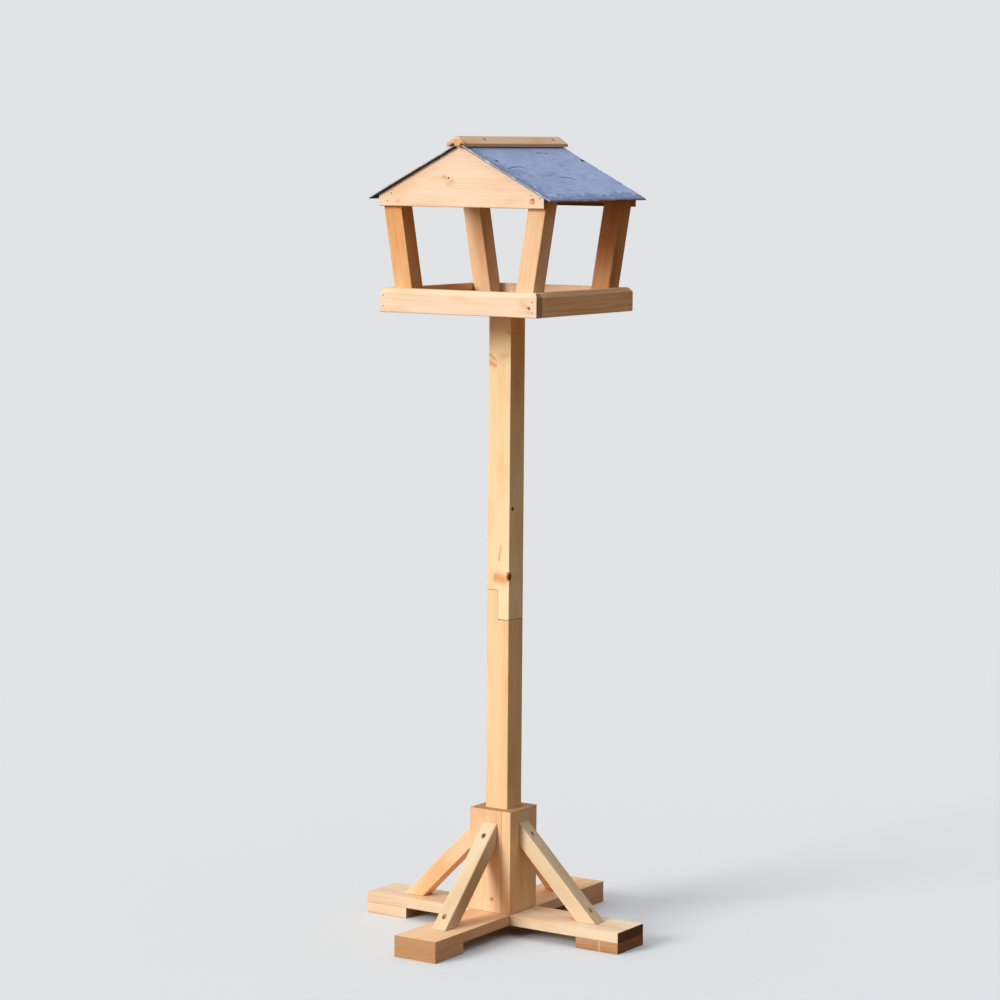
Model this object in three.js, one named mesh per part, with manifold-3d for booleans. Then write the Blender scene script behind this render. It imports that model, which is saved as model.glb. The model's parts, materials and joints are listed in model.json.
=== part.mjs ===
// A garden bird table: a braced cross foot, a post in two halves, a railed tray and a slate roof.
// Millimetres, +Z up. The origin is on the ground, on the axis of the post.
// Front is -Y, the side of the tray and gable that is looked at. Right is +X.
import * as THREE from "three";
import { mergeVertices } from "three/addons/utils/BufferGeometryUtils.js";
import Module from "manifold-3d";

const wasm = await Module();
wasm.setup();

// Sizes that hold for the whole table
const SEAT_GAP = 0.3; // left between two pieces that rest on each other
const OVERRUN = 12; // how far a cut reaches out of the piece that it cuts
const ROUND_SIDES = 16; // flats round a screw, a nail or a hole

// Cross foot
const BOARD_THICKNESS = 18; // beams, foot blocks and socket boards
const SIDE_BEAM_LENGTH = 509; // left to right
const DEEP_BEAM_LENGTH = 524; // front to back
const FOOT_BLOCK_LENGTH = 82;
const SOCKET_HEIGHT = 176; // of the four boards round the post
const BRACE_SIDE = 28; // square section
const BRACE_ANGLE = THREE.MathUtils.degToRad(45); // above the beam
const BRACE_REACH = 154; // from the socket's face to the toe
const BRACE_SCREW_INSET = 19; // from the brace's top down, and from its toe in
const BRACE_SCREW_BITE_SHARE = 0.83; // of the board that a brace is screwed to

// Post
const POST_SIDE = 44; // square section
const POST_CLEARANCE = 1; // on each side, in the socket
const LAP_HEIGHT = 535; // shoulder of the lap joint above the ground
const LAP_LENGTH = 50;
const LAP_SCREW_LENGTH_SHARE = 0.82; // of the post's side
const LAP_SCREW_STAGGER = 8; // each screw's distance from the post's middle
const LAP_SCREW_SHARES = [0.25, 0.75]; // of the joint's length, from its shoulder

// Tray
const TRAY_HEIGHT = 1053; // underside of the rim above the ground
const TRAY_SIDE_TO_SIDE = 308;
const TRAY_FRONT_TO_BACK = 300;
const RIM_HEIGHT = 40;
const RIM_THICKNESS = 17;
const RIM_CHAMFER_IN = 6; // across the top edge
const RIM_CHAMFER_DOWN = 7; // down the outer face
const BEARER_THICKNESS = 12;
const BEARER_WIDTH = 30;
const FLOOR_THICKNESS = 10;
const FLOOR_GAP = 4; // drain between two floor boards
const HEAD_SCREW_LENGTH = 45;
const HEAD_SCREW_SPACING = 24; // front to back, over the post

// Uprights
const UPRIGHT_WIDTH = 34; // across the leaning face
const UPRIGHT_DEPTH = 33; // front to back
const UPRIGHT_LEAN = THREE.MathUtils.degToRad(9.4); // outwards, from plumb
const OPENING_HEIGHT = 135; // from the rim's top to the gable's foot

// Roof timber
const ROOF_PITCH = THREE.MathUtils.degToRad(27);
const GABLE_WIDTH = 324;
const GABLE_END_HEIGHT = 18.7; // of the short upright ends
const GABLE_THICKNESS = 10;
const RAFTER_WIDTH = 16; // front to back
const RAFTER_DEPTH = 18; // square to the slope
const RAFTER_CLEARANCE = 6; // from a rafter's foot to the upright
const RAIL_WIDTH = 40;
const RAIL_SIDE_HEIGHT = 18;

// Slates
const SLATE_OVERHANG = 7; // past each gable
const SLATE_WIDTH = 192; // down the slope
const SLATE_THICKNESS = 4;
const SLATE_SETBACK = 6.2; // of the upper edge from the ridge's middle
const SLATE_HOLE_DOWN = 56; // nail holes, from the upper edge
const SLATE_SPALL_RADIUS = 4.5; // of the chipped mouth of a hole
const SLATE_SPALL_DEPTH = 2.2;
const NAIL_RADIUS = 1.3;
const NAIL_HEAD_RADIUS = 3.5;
const NAIL_HEAD_THICKNESS = 1;
const NAIL_LENGTH = 20;
const NAIL_TIP = 3;

// Ridge cap
const CAP_OVERHANG = 3; // past each end of the slates
const CAP_WIDTH = 40;
const CAP_EDGE_HEIGHT = 5.5;
const CAP_RISE = 12; // of the bevels above the edges
const CAP_TOP_FLAT = 4;
const CAP_LIFT = 2; // of the wings above the slates
const CAP_TONGUE_ROOT = 14.8; // width of the tongue where it leaves the wings
const CAP_TONGUE_FOOT = 6; // width of the tongue where it meets the rail
const CAP_TONGUE_DEPTH = 5.6;
const CAP_SCREW_LENGTH = 28;
const CAP_SCREW_ACROSS = 9.5; // from the ridge's middle
const CAP_SCREW_INSETS = [67, 30]; // from the near and the far end of the cap

// Screws
const SCREW_RADIUS = 1.8;
const SCREW_HEAD_RADIUS = 3.5;
const SCREW_HEAD_HEIGHT = 2.4;
const SCREW_TIP = 5;
const SCREW_SINK = 0.4; // of a head below the face it is driven into

// Places that follow from the sizes
const socketBore = POST_SIDE + 2 * POST_CLEARANCE;
const baseWidth = socketBore + 2 * BOARD_THICKNESS; // socket, beams and foot blocks are one width
const beamBottom = BOARD_THICKNESS + SEAT_GAP;
const beamTop = beamBottom + BOARD_THICKNESS;
const postBottom = beamTop + SEAT_GAP;
const braceRise = BRACE_REACH * Math.tan(BRACE_ANGLE);
const headSink = SCREW_HEAD_RADIUS * Math.tan(BRACE_ANGLE) + SCREW_SINK; // of a level head under a brace's face
const braceScrewLength = BRACE_SCREW_INSET - headSink + SEAT_GAP + BRACE_SCREW_BITE_SHARE * BOARD_THICKNESS;
const lapTop = LAP_HEIGHT + LAP_LENGTH;

const rimTop = TRAY_HEIGHT + RIM_HEIGHT;
const trayInnerX = TRAY_SIDE_TO_SIDE / 2 - RIM_THICKNESS;
const trayInnerY = TRAY_FRONT_TO_BACK / 2 - RIM_THICKNESS;
const floorBottom = TRAY_HEIGHT + BEARER_THICKNESS + SEAT_GAP;
const floorTop = floorBottom + FLOOR_THICKNESS;
const postTop = floorBottom - SEAT_GAP;

const gableBottom = rimTop + OPENING_HEIGHT;
const slope = Math.tan(ROOF_PITCH);
const uprightFace = trayInnerY - SEAT_GAP; // outer faces of the uprights, front and back
const gableMiddle = trayInnerY + GABLE_THICKNESS / 2;
const rafterMiddle = uprightFace - RAFTER_WIDTH / 2;
const slateLength = 2 * (trayInnerY + GABLE_THICKNESS + SLATE_OVERHANG);
const capLength = slateLength + 2 * CAP_OVERHANG;

// Height of the sloping timber faces under the slates, at a distance from the ridge's middle.
function roofLine(across) {
  return gableBottom + GABLE_END_HEIGHT + (GABLE_WIDTH / 2 - across) * slope;
}

const slateBottom = (across) => roofLine(across) + SEAT_GAP / Math.cos(ROOF_PITCH);
const slateTop = (across) => slateBottom(across) + SLATE_THICKNESS / Math.cos(ROOF_PITCH);

const capWing = (across) => slateTop(across) + CAP_LIFT; // underside of the cap's wings
const tongueBottom = capWing(CAP_TONGUE_ROOT / 2) - CAP_TONGUE_DEPTH;
const ridgeTop = tongueBottom - SEAT_GAP; // blunt top of the gables and the rail
const ridgeTopHalf = GABLE_WIDTH / 2 - (ridgeTop - gableBottom - GABLE_END_HEIGHT) / slope;

// Materials, as the pieces look in daylight
const timber = (color) => new THREE.MeshStandardMaterial({ color, roughness: 0.7, metalness: 0 });
const palePine = timber(0xeccb9c);
const warmPine = timber(0xe3b27a);
const amberPine = timber(0xd9a063);
const slateStone = new THREE.MeshStandardMaterial({ color: 0x7d88a3, roughness: 0.75, metalness: 0 });
const screwSteel = new THREE.MeshStandardMaterial({ color: 0x6a5f50, roughness: 0.45, metalness: 0.8 });
const nailSteel = new THREE.MeshStandardMaterial({ color: 0x3f434c, roughness: 0.55, metalness: 0.7 });

// A closed geometry as a solid that can be cut.
function solidOf(geometry) {
  const bare = geometry.clone();
  bare.deleteAttribute("normal");
  bare.deleteAttribute("uv");
  const merged = mergeVertices(bare);
  const corners = merged.index.array;
  const kept = [];
  for (let i = 0; i < corners.length; i += 3) {
    const [a, b, c] = corners.slice(i, i + 3);
    if (a !== b && b !== c && c !== a) kept.push(a, b, c);
  }
  const vertProperties = merged.attributes.position.array;
  return new wasm.Manifold(new wasm.Mesh({ numProp: 3, vertProperties, triVerts: new Uint32Array(kept) }));
}

// A named mesh with the solid's surface.
function piece(name, solid, material) {
  const { vertProperties, triVerts } = solid.getMesh();
  const geometry = new THREE.BufferGeometry();
  geometry.setAttribute("position", new THREE.BufferAttribute(vertProperties, 3));
  geometry.setIndex(new THREE.BufferAttribute(triVerts, 1));
  geometry.computeVertexNormals();
  const mesh = new THREE.Mesh(geometry, material);
  mesh.name = name;
  return mesh;
}

// A block between two opposite corners.
function block(low, high) {
  const [dx, dy, dz] = high.map((value, i) => value - low[i]);
  const [x, y, z] = high.map((value, i) => (value + low[i]) / 2);
  return solidOf(new THREE.BoxGeometry(dx, dy, dz).translate(x, y, z));
}

// An outline given as [across, height] pairs, drawn out front to back by the given depth about y = 0.
function profileAlongY(outline, depth) {
  const shape = new THREE.Shape(outline.map(([x, z]) => new THREE.Vector2(x, z)));
  const geometry = new THREE.ExtrudeGeometry(shape, { depth, bevelEnabled: false });
  return solidOf(geometry.translate(0, 0, -depth / 2).rotateX(Math.PI / 2));
}

// A solid of revolution about +Y, from [radius, height] pairs that start and end on the axis.
function turned(pairs) {
  return solidOf(new THREE.LatheGeometry(pairs.map(([r, h]) => new THREE.Vector2(r, h)), ROUND_SIDES));
}

// A countersunk screw, its head's top at the origin and its head facing +Y.
function screwBody(length) {
  return turned([
    [0, -length],
    [SCREW_RADIUS, SCREW_TIP - length],
    [SCREW_RADIUS, -SCREW_HEAD_HEIGHT],
    [SCREW_HEAD_RADIUS, 0],
    [0, 0],
  ]);
}

// The hole that such a screw sits in, open above its head.
function screwHole(length) {
  const depth = -length - SEAT_GAP;
  const shank = SCREW_RADIUS + SEAT_GAP;
  const mouth = SCREW_HEAD_RADIUS + SEAT_GAP;
  return turned([
    [0, depth],
    [shank, depth],
    [shank, -SCREW_HEAD_HEIGHT - SEAT_GAP],
    [mouth, -SEAT_GAP],
    [mouth, OVERRUN],
    [0, OVERRUN],
  ]);
}

// A slate nail, the underside of its head at the origin and its head facing +Y.
function nailBody() {
  return turned([
    [0, -NAIL_LENGTH],
    [NAIL_RADIUS, NAIL_TIP - NAIL_LENGTH],
    [NAIL_RADIUS, 0],
    [NAIL_HEAD_RADIUS, 0],
    [NAIL_HEAD_RADIUS, NAIL_HEAD_THICKNESS],
    [0, NAIL_HEAD_THICKNESS],
  ]);
}

// The hole that such a nail's shank makes.
function nailHole() {
  const depth = -NAIL_LENGTH - SEAT_GAP;
  const radius = NAIL_RADIUS + SEAT_GAP;
  return turned([
    [0, depth],
    [radius, depth],
    [radius, NAIL_HEAD_THICKNESS],
    [0, NAIL_HEAD_THICKNESS],
  ]);
}

// Turns +Y to the outward direction and moves the origin to the place.
function standing(place, outward) {
  const up = new THREE.Vector3(0, 1, 0);
  const turn = new THREE.Quaternion().setFromUnitVectors(up, new THREE.Vector3(...outward).normalize());
  return new THREE.Matrix4().compose(new THREE.Vector3(...place), turn, new THREE.Vector3(1, 1, 1));
}

// A fastener's mesh, put in place.
function fastener(name, body, matrix, material) {
  const mesh = piece(name, body, material);
  mesh.applyMatrix4(matrix);
  return mesh;
}

// A solid moved by a matrix.
const moved = (solid, matrix) => solid.transform(matrix.toArray());

const opposite = { right: "left", front: "back" };
const table = new THREE.Group();

// Cross foot. Each arm is laid out along +X from the post and then turned about it.
const braceFootScrew = standing(
  [baseWidth / 2 + BRACE_REACH - BRACE_SCREW_INSET, 0, beamTop + BRACE_SCREW_INSET - headSink + SEAT_GAP],
  [0, 0, 1],
);
const braceTopScrew = standing(
  [baseWidth / 2 + BRACE_SCREW_INSET - headSink + SEAT_GAP, 0, beamTop + braceRise - BRACE_SCREW_INSET],
  [1, 0, 0],
);
const footScrewHole = moved(screwHole(braceScrewLength), braceFootScrew);
const topScrewHole = moved(screwHole(braceScrewLength), braceTopScrew);

// A beam along X with screw holes at both ends, halved from its top or from its underside.
function crossBeam(name, length, halvedFromTop, material) {
  const half = (BOARD_THICKNESS + SEAT_GAP) / 2;
  const notchHalf = baseWidth / 2 + SEAT_GAP;
  const notchLow = halvedFromTop ? beamTop - half : beamBottom - OVERRUN;
  const notchHigh = halvedFromTop ? beamTop + OVERRUN : beamBottom + half;
  const otherEnd = new THREE.Matrix4().makeRotationZ(Math.PI);
  const board = block([-length / 2, -baseWidth / 2, beamBottom], [length / 2, baseWidth / 2, beamTop])
    .subtract(block([-notchHalf, -baseWidth, notchLow], [notchHalf, baseWidth, notchHigh]))
    .subtract(footScrewHole)
    .subtract(moved(footScrewHole, otherEnd));
  return piece(name, board, material);
}

// A square block under a beam's end, flush with it.
function footBlock(name, beamLength) {
  const outer = beamLength / 2;
  const solid = block([outer - FOOT_BLOCK_LENGTH, -baseWidth / 2, 0], [outer, baseWidth / 2, BOARD_THICKNESS]);
  return piece(name, solid, warmPine);
}

// One of the four boards round the post. It covers the edge of its left-hand neighbour.
function socketBoard(name, material) {
  const bottom = beamTop + SEAT_GAP;
  const low = [socketBore / 2, -baseWidth / 2, bottom];
  const high = [baseWidth / 2, socketBore / 2 - SEAT_GAP, bottom + SOCKET_HEIGHT];
  return piece(name, block(low, high).subtract(topScrewHole), material);
}

// A strut between the socket and the beam, mitred at both ends.
function brace(name, material) {
  const inner = baseWidth / 2 + SEAT_GAP;
  const seat = beamTop + SEAT_GAP;
  const plumbCut = BRACE_SIDE / Math.cos(BRACE_ANGLE);
  const levelCut = BRACE_SIDE / Math.sin(BRACE_ANGLE);
  const outline = [
    [inner, seat + braceRise - plumbCut],
    [inner + BRACE_REACH - levelCut, seat],
    [inner + BRACE_REACH, seat],
    [inner, seat + braceRise],
  ];
  const solid = profileAlongY(outline, BRACE_SIDE).subtract(topScrewHole).subtract(footScrewHole);
  return piece(name, solid, material);
}

function crossFoot() {
  const foot = new THREE.Group();
  foot.add(crossBeam("cross_beam_side", SIDE_BEAM_LENGTH, true, palePine));
  const deep = crossBeam("cross_beam_deep", DEEP_BEAM_LENGTH, false, palePine);
  deep.rotation.z = Math.PI / 2;
  foot.add(deep);
  const arms = [
    ["right", SIDE_BEAM_LENGTH, palePine],
    ["back", DEEP_BEAM_LENGTH, warmPine],
    ["left", SIDE_BEAM_LENGTH, amberPine],
    ["front", DEEP_BEAM_LENGTH, palePine],
  ];
  arms.forEach(([side, beamLength, material], quarter) => {
    const arm = new THREE.Group();
    arm.rotation.z = (quarter * Math.PI) / 2;
    arm.add(footBlock(`foot_block_${side}`, beamLength));
    arm.add(socketBoard(`socket_board_${side}`, material === palePine ? warmPine : material));
    arm.add(brace(`brace_${side}`, material));
    const screw = screwBody(braceScrewLength);
    arm.add(fastener(`brace_screw_${side}_top`, screw, braceTopScrew, screwSteel));
    arm.add(fastener(`brace_screw_${side}_foot`, screw, braceFootScrew, screwSteel));
    foot.add(arm);
  });
  return foot;
}

// Post: two square lengths, lapped. The lower tongue is on the left, the upper one on the right.
const lapScrewLength = LAP_SCREW_LENGTH_SHARE * POST_SIDE;
const lapScrews = LAP_SCREW_SHARES.map((share, i) => {
  const y = i === 0 ? -LAP_SCREW_STAGGER : LAP_SCREW_STAGGER;
  return standing([SCREW_SINK - POST_SIDE / 2, y, LAP_HEIGHT + LAP_LENGTH * share], [-1, 0, 0]);
});
const headScrews = [-1, 1].map((end) =>
  standing([0, (end * HEAD_SCREW_SPACING) / 2, floorTop - SCREW_SINK], [0, 0, 1]),
);
const headScrewHoles = headScrews.map((matrix) => moved(screwHole(HEAD_SCREW_LENGTH), matrix));

function post() {
  const half = POST_SIDE / 2;
  const halfGap = SEAT_GAP / 2;
  const holes = lapScrews.map((matrix) => moved(screwHole(lapScrewLength), matrix));
  const cutAll = (solid, cutters) => cutters.reduce((rest, cutter) => rest.subtract(cutter), solid);
  const lower = block([-half, -half, postBottom], [half, half, lapTop]).subtract(
    block([-halfGap, -POST_SIDE, LAP_HEIGHT], [POST_SIDE, POST_SIDE, lapTop + OVERRUN]),
  );
  const upper = block([-half, -half, LAP_HEIGHT + SEAT_GAP], [half, half, postTop]).subtract(
    block([-POST_SIDE, -POST_SIDE, LAP_HEIGHT - OVERRUN], [halfGap, POST_SIDE, lapTop + SEAT_GAP]),
  );
  const group = new THREE.Group();
  group.add(piece("post_lower", cutAll(lower, holes), warmPine));
  group.add(piece("post_upper", cutAll(upper, [...holes, ...headScrewHoles]), palePine));
  const screw = screwBody(lapScrewLength);
  group.add(fastener("lap_screw_low", screw, lapScrews[0], screwSteel));
  group.add(fastener("lap_screw_high", screw, lapScrews[1], screwSteel));
  return group;
}

// The outline of the rim seen along one side, its top edges chamfered.
function rimOutline(width) {
  const outer = width / 2;
  return [
    [-outer, TRAY_HEIGHT],
    [outer, TRAY_HEIGHT],
    [outer, rimTop - RIM_CHAMFER_DOWN],
    [outer - RIM_CHAMFER_IN, rimTop],
    [RIM_CHAMFER_IN - outer, rimTop],
    [-outer, rimTop - RIM_CHAMFER_DOWN],
  ];
}

function tray() {
  const quarterTurn = new THREE.Matrix4().makeRotationZ(Math.PI / 2);
  const envelope = profileAlongY(rimOutline(TRAY_SIDE_TO_SIDE), TRAY_FRONT_TO_BACK).intersect(
    moved(profileAlongY(rimOutline(TRAY_FRONT_TO_BACK), TRAY_SIDE_TO_SIDE), quarterTurn),
  );
  const outerX = TRAY_SIDE_TO_SIDE / 2;
  const outerY = TRAY_FRONT_TO_BACK / 2;
  const rimBoard = (name, [x0, y0], [x1, y1], material) =>
    piece(name, envelope.intersect(block([x0, y0, TRAY_HEIGHT], [x1, y1, rimTop])), material);
  const group = new THREE.Group();
  group.add(rimBoard("tray_board_front", [-outerX, -outerY], [outerX, -trayInnerY], palePine));
  group.add(rimBoard("tray_board_right", [trayInnerX, SEAT_GAP - trayInnerY], [outerX, outerY], warmPine));
  group.add(rimBoard("tray_board_left", [-outerX, SEAT_GAP - trayInnerY], [-trayInnerX, outerY], warmPine));
  const backHalf = trayInnerX - SEAT_GAP;
  group.add(rimBoard("tray_board_back", [-backHalf, trayInnerY], [backHalf, outerY], palePine));

  // Floor boards run left to right, the middle one over the head of the post.
  const floorSpan = 2 * (trayInnerY - SEAT_GAP);
  const floorWidth = (floorSpan - 2 * FLOOR_GAP) / 3;
  ["front", "middle", "back"].forEach((place, i) => {
    const near = -floorSpan / 2 + i * (floorWidth + FLOOR_GAP);
    const board = block([-backHalf, near, floorBottom], [backHalf, near + floorWidth, floorTop]);
    const holes = place === "middle" ? headScrewHoles : [];
    group.add(piece(`tray_floor_${place}`, holes.reduce((rest, hole) => rest.subtract(hole), board), warmPine));
  });

  // Bearers hold the head of the post between them.
  for (const [side, sign] of [["right", 1], ["left", -1]]) {
    const inner = POST_SIDE / 2 + SEAT_GAP;
    const across = [sign * inner, sign * (inner + BEARER_WIDTH)].sort((a, b) => a - b);
    const reach = trayInnerY - SEAT_GAP;
    const solid = block([across[0], -reach, TRAY_HEIGHT], [across[1], reach, TRAY_HEIGHT + BEARER_THICKNESS]);
    group.add(piece(`tray_bearer_${side}`, solid, warmPine));
  }
  const screw = screwBody(HEAD_SCREW_LENGTH);
  group.add(fastener("post_head_screw_front", screw, headScrews[0], screwSteel));
  group.add(fastener("post_head_screw_back", screw, headScrews[1], screwSteel));
  return group;
}

// A leaning upright's outer and inner faces at a height: their distance from the table's middle.
const uprightOuter = (height) => trayInnerX - SEAT_GAP + (height - rimTop) * Math.tan(UPRIGHT_LEAN);
const uprightInner = (height) => uprightOuter(height) - UPRIGHT_WIDTH / Math.cos(UPRIGHT_LEAN);

// Height at which a leaning face meets the sloping underside of the roof.
function meetRoof(face) {
  const atRim = roofLine(face(rimTop));
  return rimTop + (atRim - rimTop) / (1 + Math.tan(UPRIGHT_LEAN) * slope);
}

function uprights() {
  const foot = floorTop + SEAT_GAP;
  const outerTop = meetRoof(uprightOuter);
  const innerTop = meetRoof(uprightInner);
  const outline = [
    [uprightInner(foot), foot],
    [uprightOuter(foot), foot],
    [uprightOuter(outerTop), outerTop],
    [uprightInner(innerTop), innerTop],
  ];
  const group = new THREE.Group();
  for (const [end, toBack] of [["front", -1], ["back", 1]]) {
    for (const [side, turn] of [["right", 0], ["left", Math.PI]]) {
      const mesh = piece(`upright_${end}_${side}`, profileAlongY(outline, UPRIGHT_DEPTH), warmPine);
      mesh.rotation.z = turn;
      mesh.position.y = toBack * (uprightFace - UPRIGHT_DEPTH / 2);
      group.add(mesh);
    }
  }
  return group;
}

// Roof. The right slope is laid out and the left one is the same, turned half round about the post.
const halfTurn = new THREE.Matrix4().makeRotationZ(Math.PI);
const onSlope = new THREE.Matrix4()
  .makeTranslation(SLATE_SETBACK, 0, slateBottom(SLATE_SETBACK))
  .multiply(new THREE.Matrix4().makeRotationY(ROOF_PITCH));
const nailSeat = SLATE_THICKNESS - SLATE_SPALL_DEPTH + SEAT_GAP; // above the slate's underside
const nailYs = [-rafterMiddle, gableMiddle]; // into a rafter near the front, into the gable at the back
const slateNails = nailYs.map((y) => standing([SLATE_HOLE_DOWN, y, nailSeat], [0, 0, 1]).premultiply(onSlope));
const nailHolesRight = slateNails.map((matrix) => moved(nailHole(), matrix));
const nailHoles = [...nailHolesRight, ...nailHolesRight.map((hole) => moved(hole, halfTurn))];
const withoutNails = (solid) => nailHoles.reduce((rest, hole) => rest.subtract(hole), solid);

// Cap screws stand square to the bevel that they are driven into.
const capHalf = CAP_WIDTH / 2;
const capEdgeTop = capWing(capHalf) + CAP_EDGE_HEIGHT;
const bevelRun = capHalf - CAP_TOP_FLAT / 2;
const bevelNormal = new THREE.Vector3(CAP_RISE, 0, bevelRun).normalize();
const capScrewZ = capEdgeTop + ((capHalf - CAP_SCREW_ACROSS) / bevelRun) * CAP_RISE;
const capScrewYs = [CAP_SCREW_INSETS[0] - capLength / 2, capLength / 2 - CAP_SCREW_INSETS[1]];
const capScrews = capScrewYs.map((y) => {
  const place = new THREE.Vector3(CAP_SCREW_ACROSS, y, capScrewZ).addScaledVector(bevelNormal, -SCREW_SINK);
  return standing(place.toArray(), bevelNormal.toArray());
});
const capHolesRight = capScrews.map((matrix) => moved(screwHole(CAP_SCREW_LENGTH), matrix));
const capHoles = [...capHolesRight, ...capHolesRight.map((hole) => moved(hole, halfTurn))];
const withoutCapScrews = (solid) => capHoles.reduce((rest, hole) => rest.subtract(hole), solid);

function gables() {
  const half = GABLE_WIDTH / 2;
  const outline = [
    [-half, gableBottom],
    [half, gableBottom],
    [half, gableBottom + GABLE_END_HEIGHT],
    [ridgeTopHalf, ridgeTop],
    [-ridgeTopHalf, ridgeTop],
    [-half, gableBottom + GABLE_END_HEIGHT],
  ];
  return [["gable_front", -1], ["gable_back", 1]].map(([name, toBack]) => {
    const place = new THREE.Matrix4().makeTranslation(0, toBack * gableMiddle, 0);
    return piece(name, withoutNails(moved(profileAlongY(outline, GABLE_THICKNESS), place)), palePine);
  });
}

function ridgeRail() {
  const half = RAIL_WIDTH / 2;
  const bottom = roofLine(half) - RAIL_SIDE_HEIGHT;
  const outline = [
    [-half, bottom],
    [half, bottom],
    [half, roofLine(half)],
    [ridgeTopHalf, ridgeTop],
    [-ridgeTopHalf, ridgeTop],
    [-half, roofLine(half)],
  ];
  return piece("ridge_rail", withoutCapScrews(profileAlongY(outline, 2 * uprightFace)), warmPine);
}

function rafters() {
  const top = RAIL_WIDTH / 2 + SEAT_GAP;
  const foot = uprightInner(gableBottom) - RAFTER_CLEARANCE;
  const drop = RAFTER_DEPTH / Math.cos(ROOF_PITCH);
  const outline = [
    [top, roofLine(top) - drop],
    [foot, roofLine(foot) - drop],
    [foot, roofLine(foot)],
    [top, roofLine(top)],
  ];
  const pieces = [];
  for (const [end, toBack] of [["front", -1], ["back", 1]]) {
    const along = new THREE.Matrix4().makeTranslation(0, toBack * rafterMiddle, 0);
    const rafter = profileAlongY(outline, RAFTER_WIDTH);
    pieces.push(piece(`rafter_${end}_right`, withoutNails(moved(rafter, along)), warmPine));
    pieces.push(piece(`rafter_${end}_left`, withoutNails(moved(moved(rafter, halfTurn), along)), warmPine));
  }
  return pieces;
}

// A slate, its underside on the slope's plane and its two nail holes spalled round the mouth.
function slateBody() {
  const slab = block([0, -slateLength / 2, 0], [SLATE_WIDTH, slateLength / 2, SLATE_THICKNESS]);
  const radius = NAIL_RADIUS + SEAT_GAP;
  const floor = SLATE_THICKNESS - SLATE_SPALL_DEPTH;
  const mouth = turned([
    [0, -OVERRUN],
    [radius, -OVERRUN],
    [radius, floor],
    [NAIL_HEAD_RADIUS + SEAT_GAP, floor],
    [SLATE_SPALL_RADIUS, SLATE_THICKNESS],
    [SLATE_SPALL_RADIUS, OVERRUN],
    [0, OVERRUN],
  ]);
  const mouths = nailYs.map((y) => moved(mouth, standing([SLATE_HOLE_DOWN, y, 0], [0, 0, 1])));
  return mouths.reduce((rest, cutter) => rest.subtract(cutter), slab);
}

function ridgeCap() {
  const rootHalf = CAP_TONGUE_ROOT / 2;
  const rightSide = [
    [CAP_TONGUE_FOOT / 2, tongueBottom],
    [rootHalf, capWing(rootHalf)],
    [capHalf, capWing(capHalf)],
    [capHalf, capEdgeTop],
    [CAP_TOP_FLAT / 2, capEdgeTop + CAP_RISE],
  ];
  const leftSide = rightSide.map(([x, z]) => [-x, z]).reverse();
  return piece("ridge_cap", withoutCapScrews(profileAlongY([...rightSide, ...leftSide], capLength)), amberPine);
}

function roof() {
  const group = new THREE.Group();
  group.add(...gables(), ridgeRail(), ...rafters(), ridgeCap());
  for (const [side, turn] of [["right", 0], ["left", Math.PI]]) {
    const slopeGroup = new THREE.Group();
    slopeGroup.rotation.z = turn;
    const slate = piece(`slate_${side}`, slateBody(), slateStone);
    slate.applyMatrix4(onSlope);
    slopeGroup.add(slate);
    ["near", "far"].forEach((end, i) => {
      const capScrew = screwBody(CAP_SCREW_LENGTH);
      slopeGroup.add(fastener(`slate_nail_${side}_${end}`, nailBody(), slateNails[i], nailSteel));
      slopeGroup.add(fastener(`cap_screw_${side}_${end}`, capScrew, capScrews[i], screwSteel));
    });
    group.add(slopeGroup);
  }
  return group;
}

table.add(crossFoot(), post(), tray(), uprights(), roof());

export default table;
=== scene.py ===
"""A garden bird table of planed pine under a roof of two slates.

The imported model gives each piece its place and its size. This script rounds the arrises of the timber,
rives and chips the slates, gives the screws and nails their heads, and gives each board the figure of
the log that it was cut from.
"""

from __future__ import annotations

import functools
import json
import logging
import math
import random
from dataclasses import dataclass, field
from enum import Enum
from typing import Any, Callable, Iterable

import bmesh
import bpy
from mathutils import Matrix, Vector


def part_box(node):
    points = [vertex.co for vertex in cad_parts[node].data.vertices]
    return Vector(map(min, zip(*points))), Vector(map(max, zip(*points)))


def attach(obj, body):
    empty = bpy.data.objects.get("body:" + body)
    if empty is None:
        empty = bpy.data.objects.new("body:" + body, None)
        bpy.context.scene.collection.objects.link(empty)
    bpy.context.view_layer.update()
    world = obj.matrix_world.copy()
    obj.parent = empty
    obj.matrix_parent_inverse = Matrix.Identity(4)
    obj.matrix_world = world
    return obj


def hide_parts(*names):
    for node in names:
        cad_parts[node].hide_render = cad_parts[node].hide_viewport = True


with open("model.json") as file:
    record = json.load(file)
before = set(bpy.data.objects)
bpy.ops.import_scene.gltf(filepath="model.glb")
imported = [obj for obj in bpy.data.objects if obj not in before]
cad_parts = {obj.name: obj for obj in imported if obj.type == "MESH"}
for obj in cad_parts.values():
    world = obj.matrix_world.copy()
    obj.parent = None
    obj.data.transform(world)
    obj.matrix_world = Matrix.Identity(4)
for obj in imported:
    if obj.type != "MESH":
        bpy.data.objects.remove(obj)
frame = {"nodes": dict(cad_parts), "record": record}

LOG = logging.getLogger("bird_table")
MM = 0.001
SLOTS = {part["node"]: part["material_slot"] for part in frame["record"]["subparts"]}

# Directions on the table, and the steps below which points, planes and edges count as the same or flat. A
# face is alongside, and an edge is lengthways, by its share along a piece. A fastener's head is its far end.
BACKWARD = (0.0, 1.0, 0.0)
RIGHTWARD = (1.0, 0.0, 0.0)
NO_WAY = (0.0, 0.0, 0.0)
LEVEL = (1.0, 1.0, 0.0)
SAME_POINT = 0.005 * MM
SAME_PLANE = math.radians(0.5)
SHARP = math.radians(15)
ALONGSIDE = 0.02
DOWNWARD = -0.01
LENGTHWAYS = 0.9
FAR_END = 0.985

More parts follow.
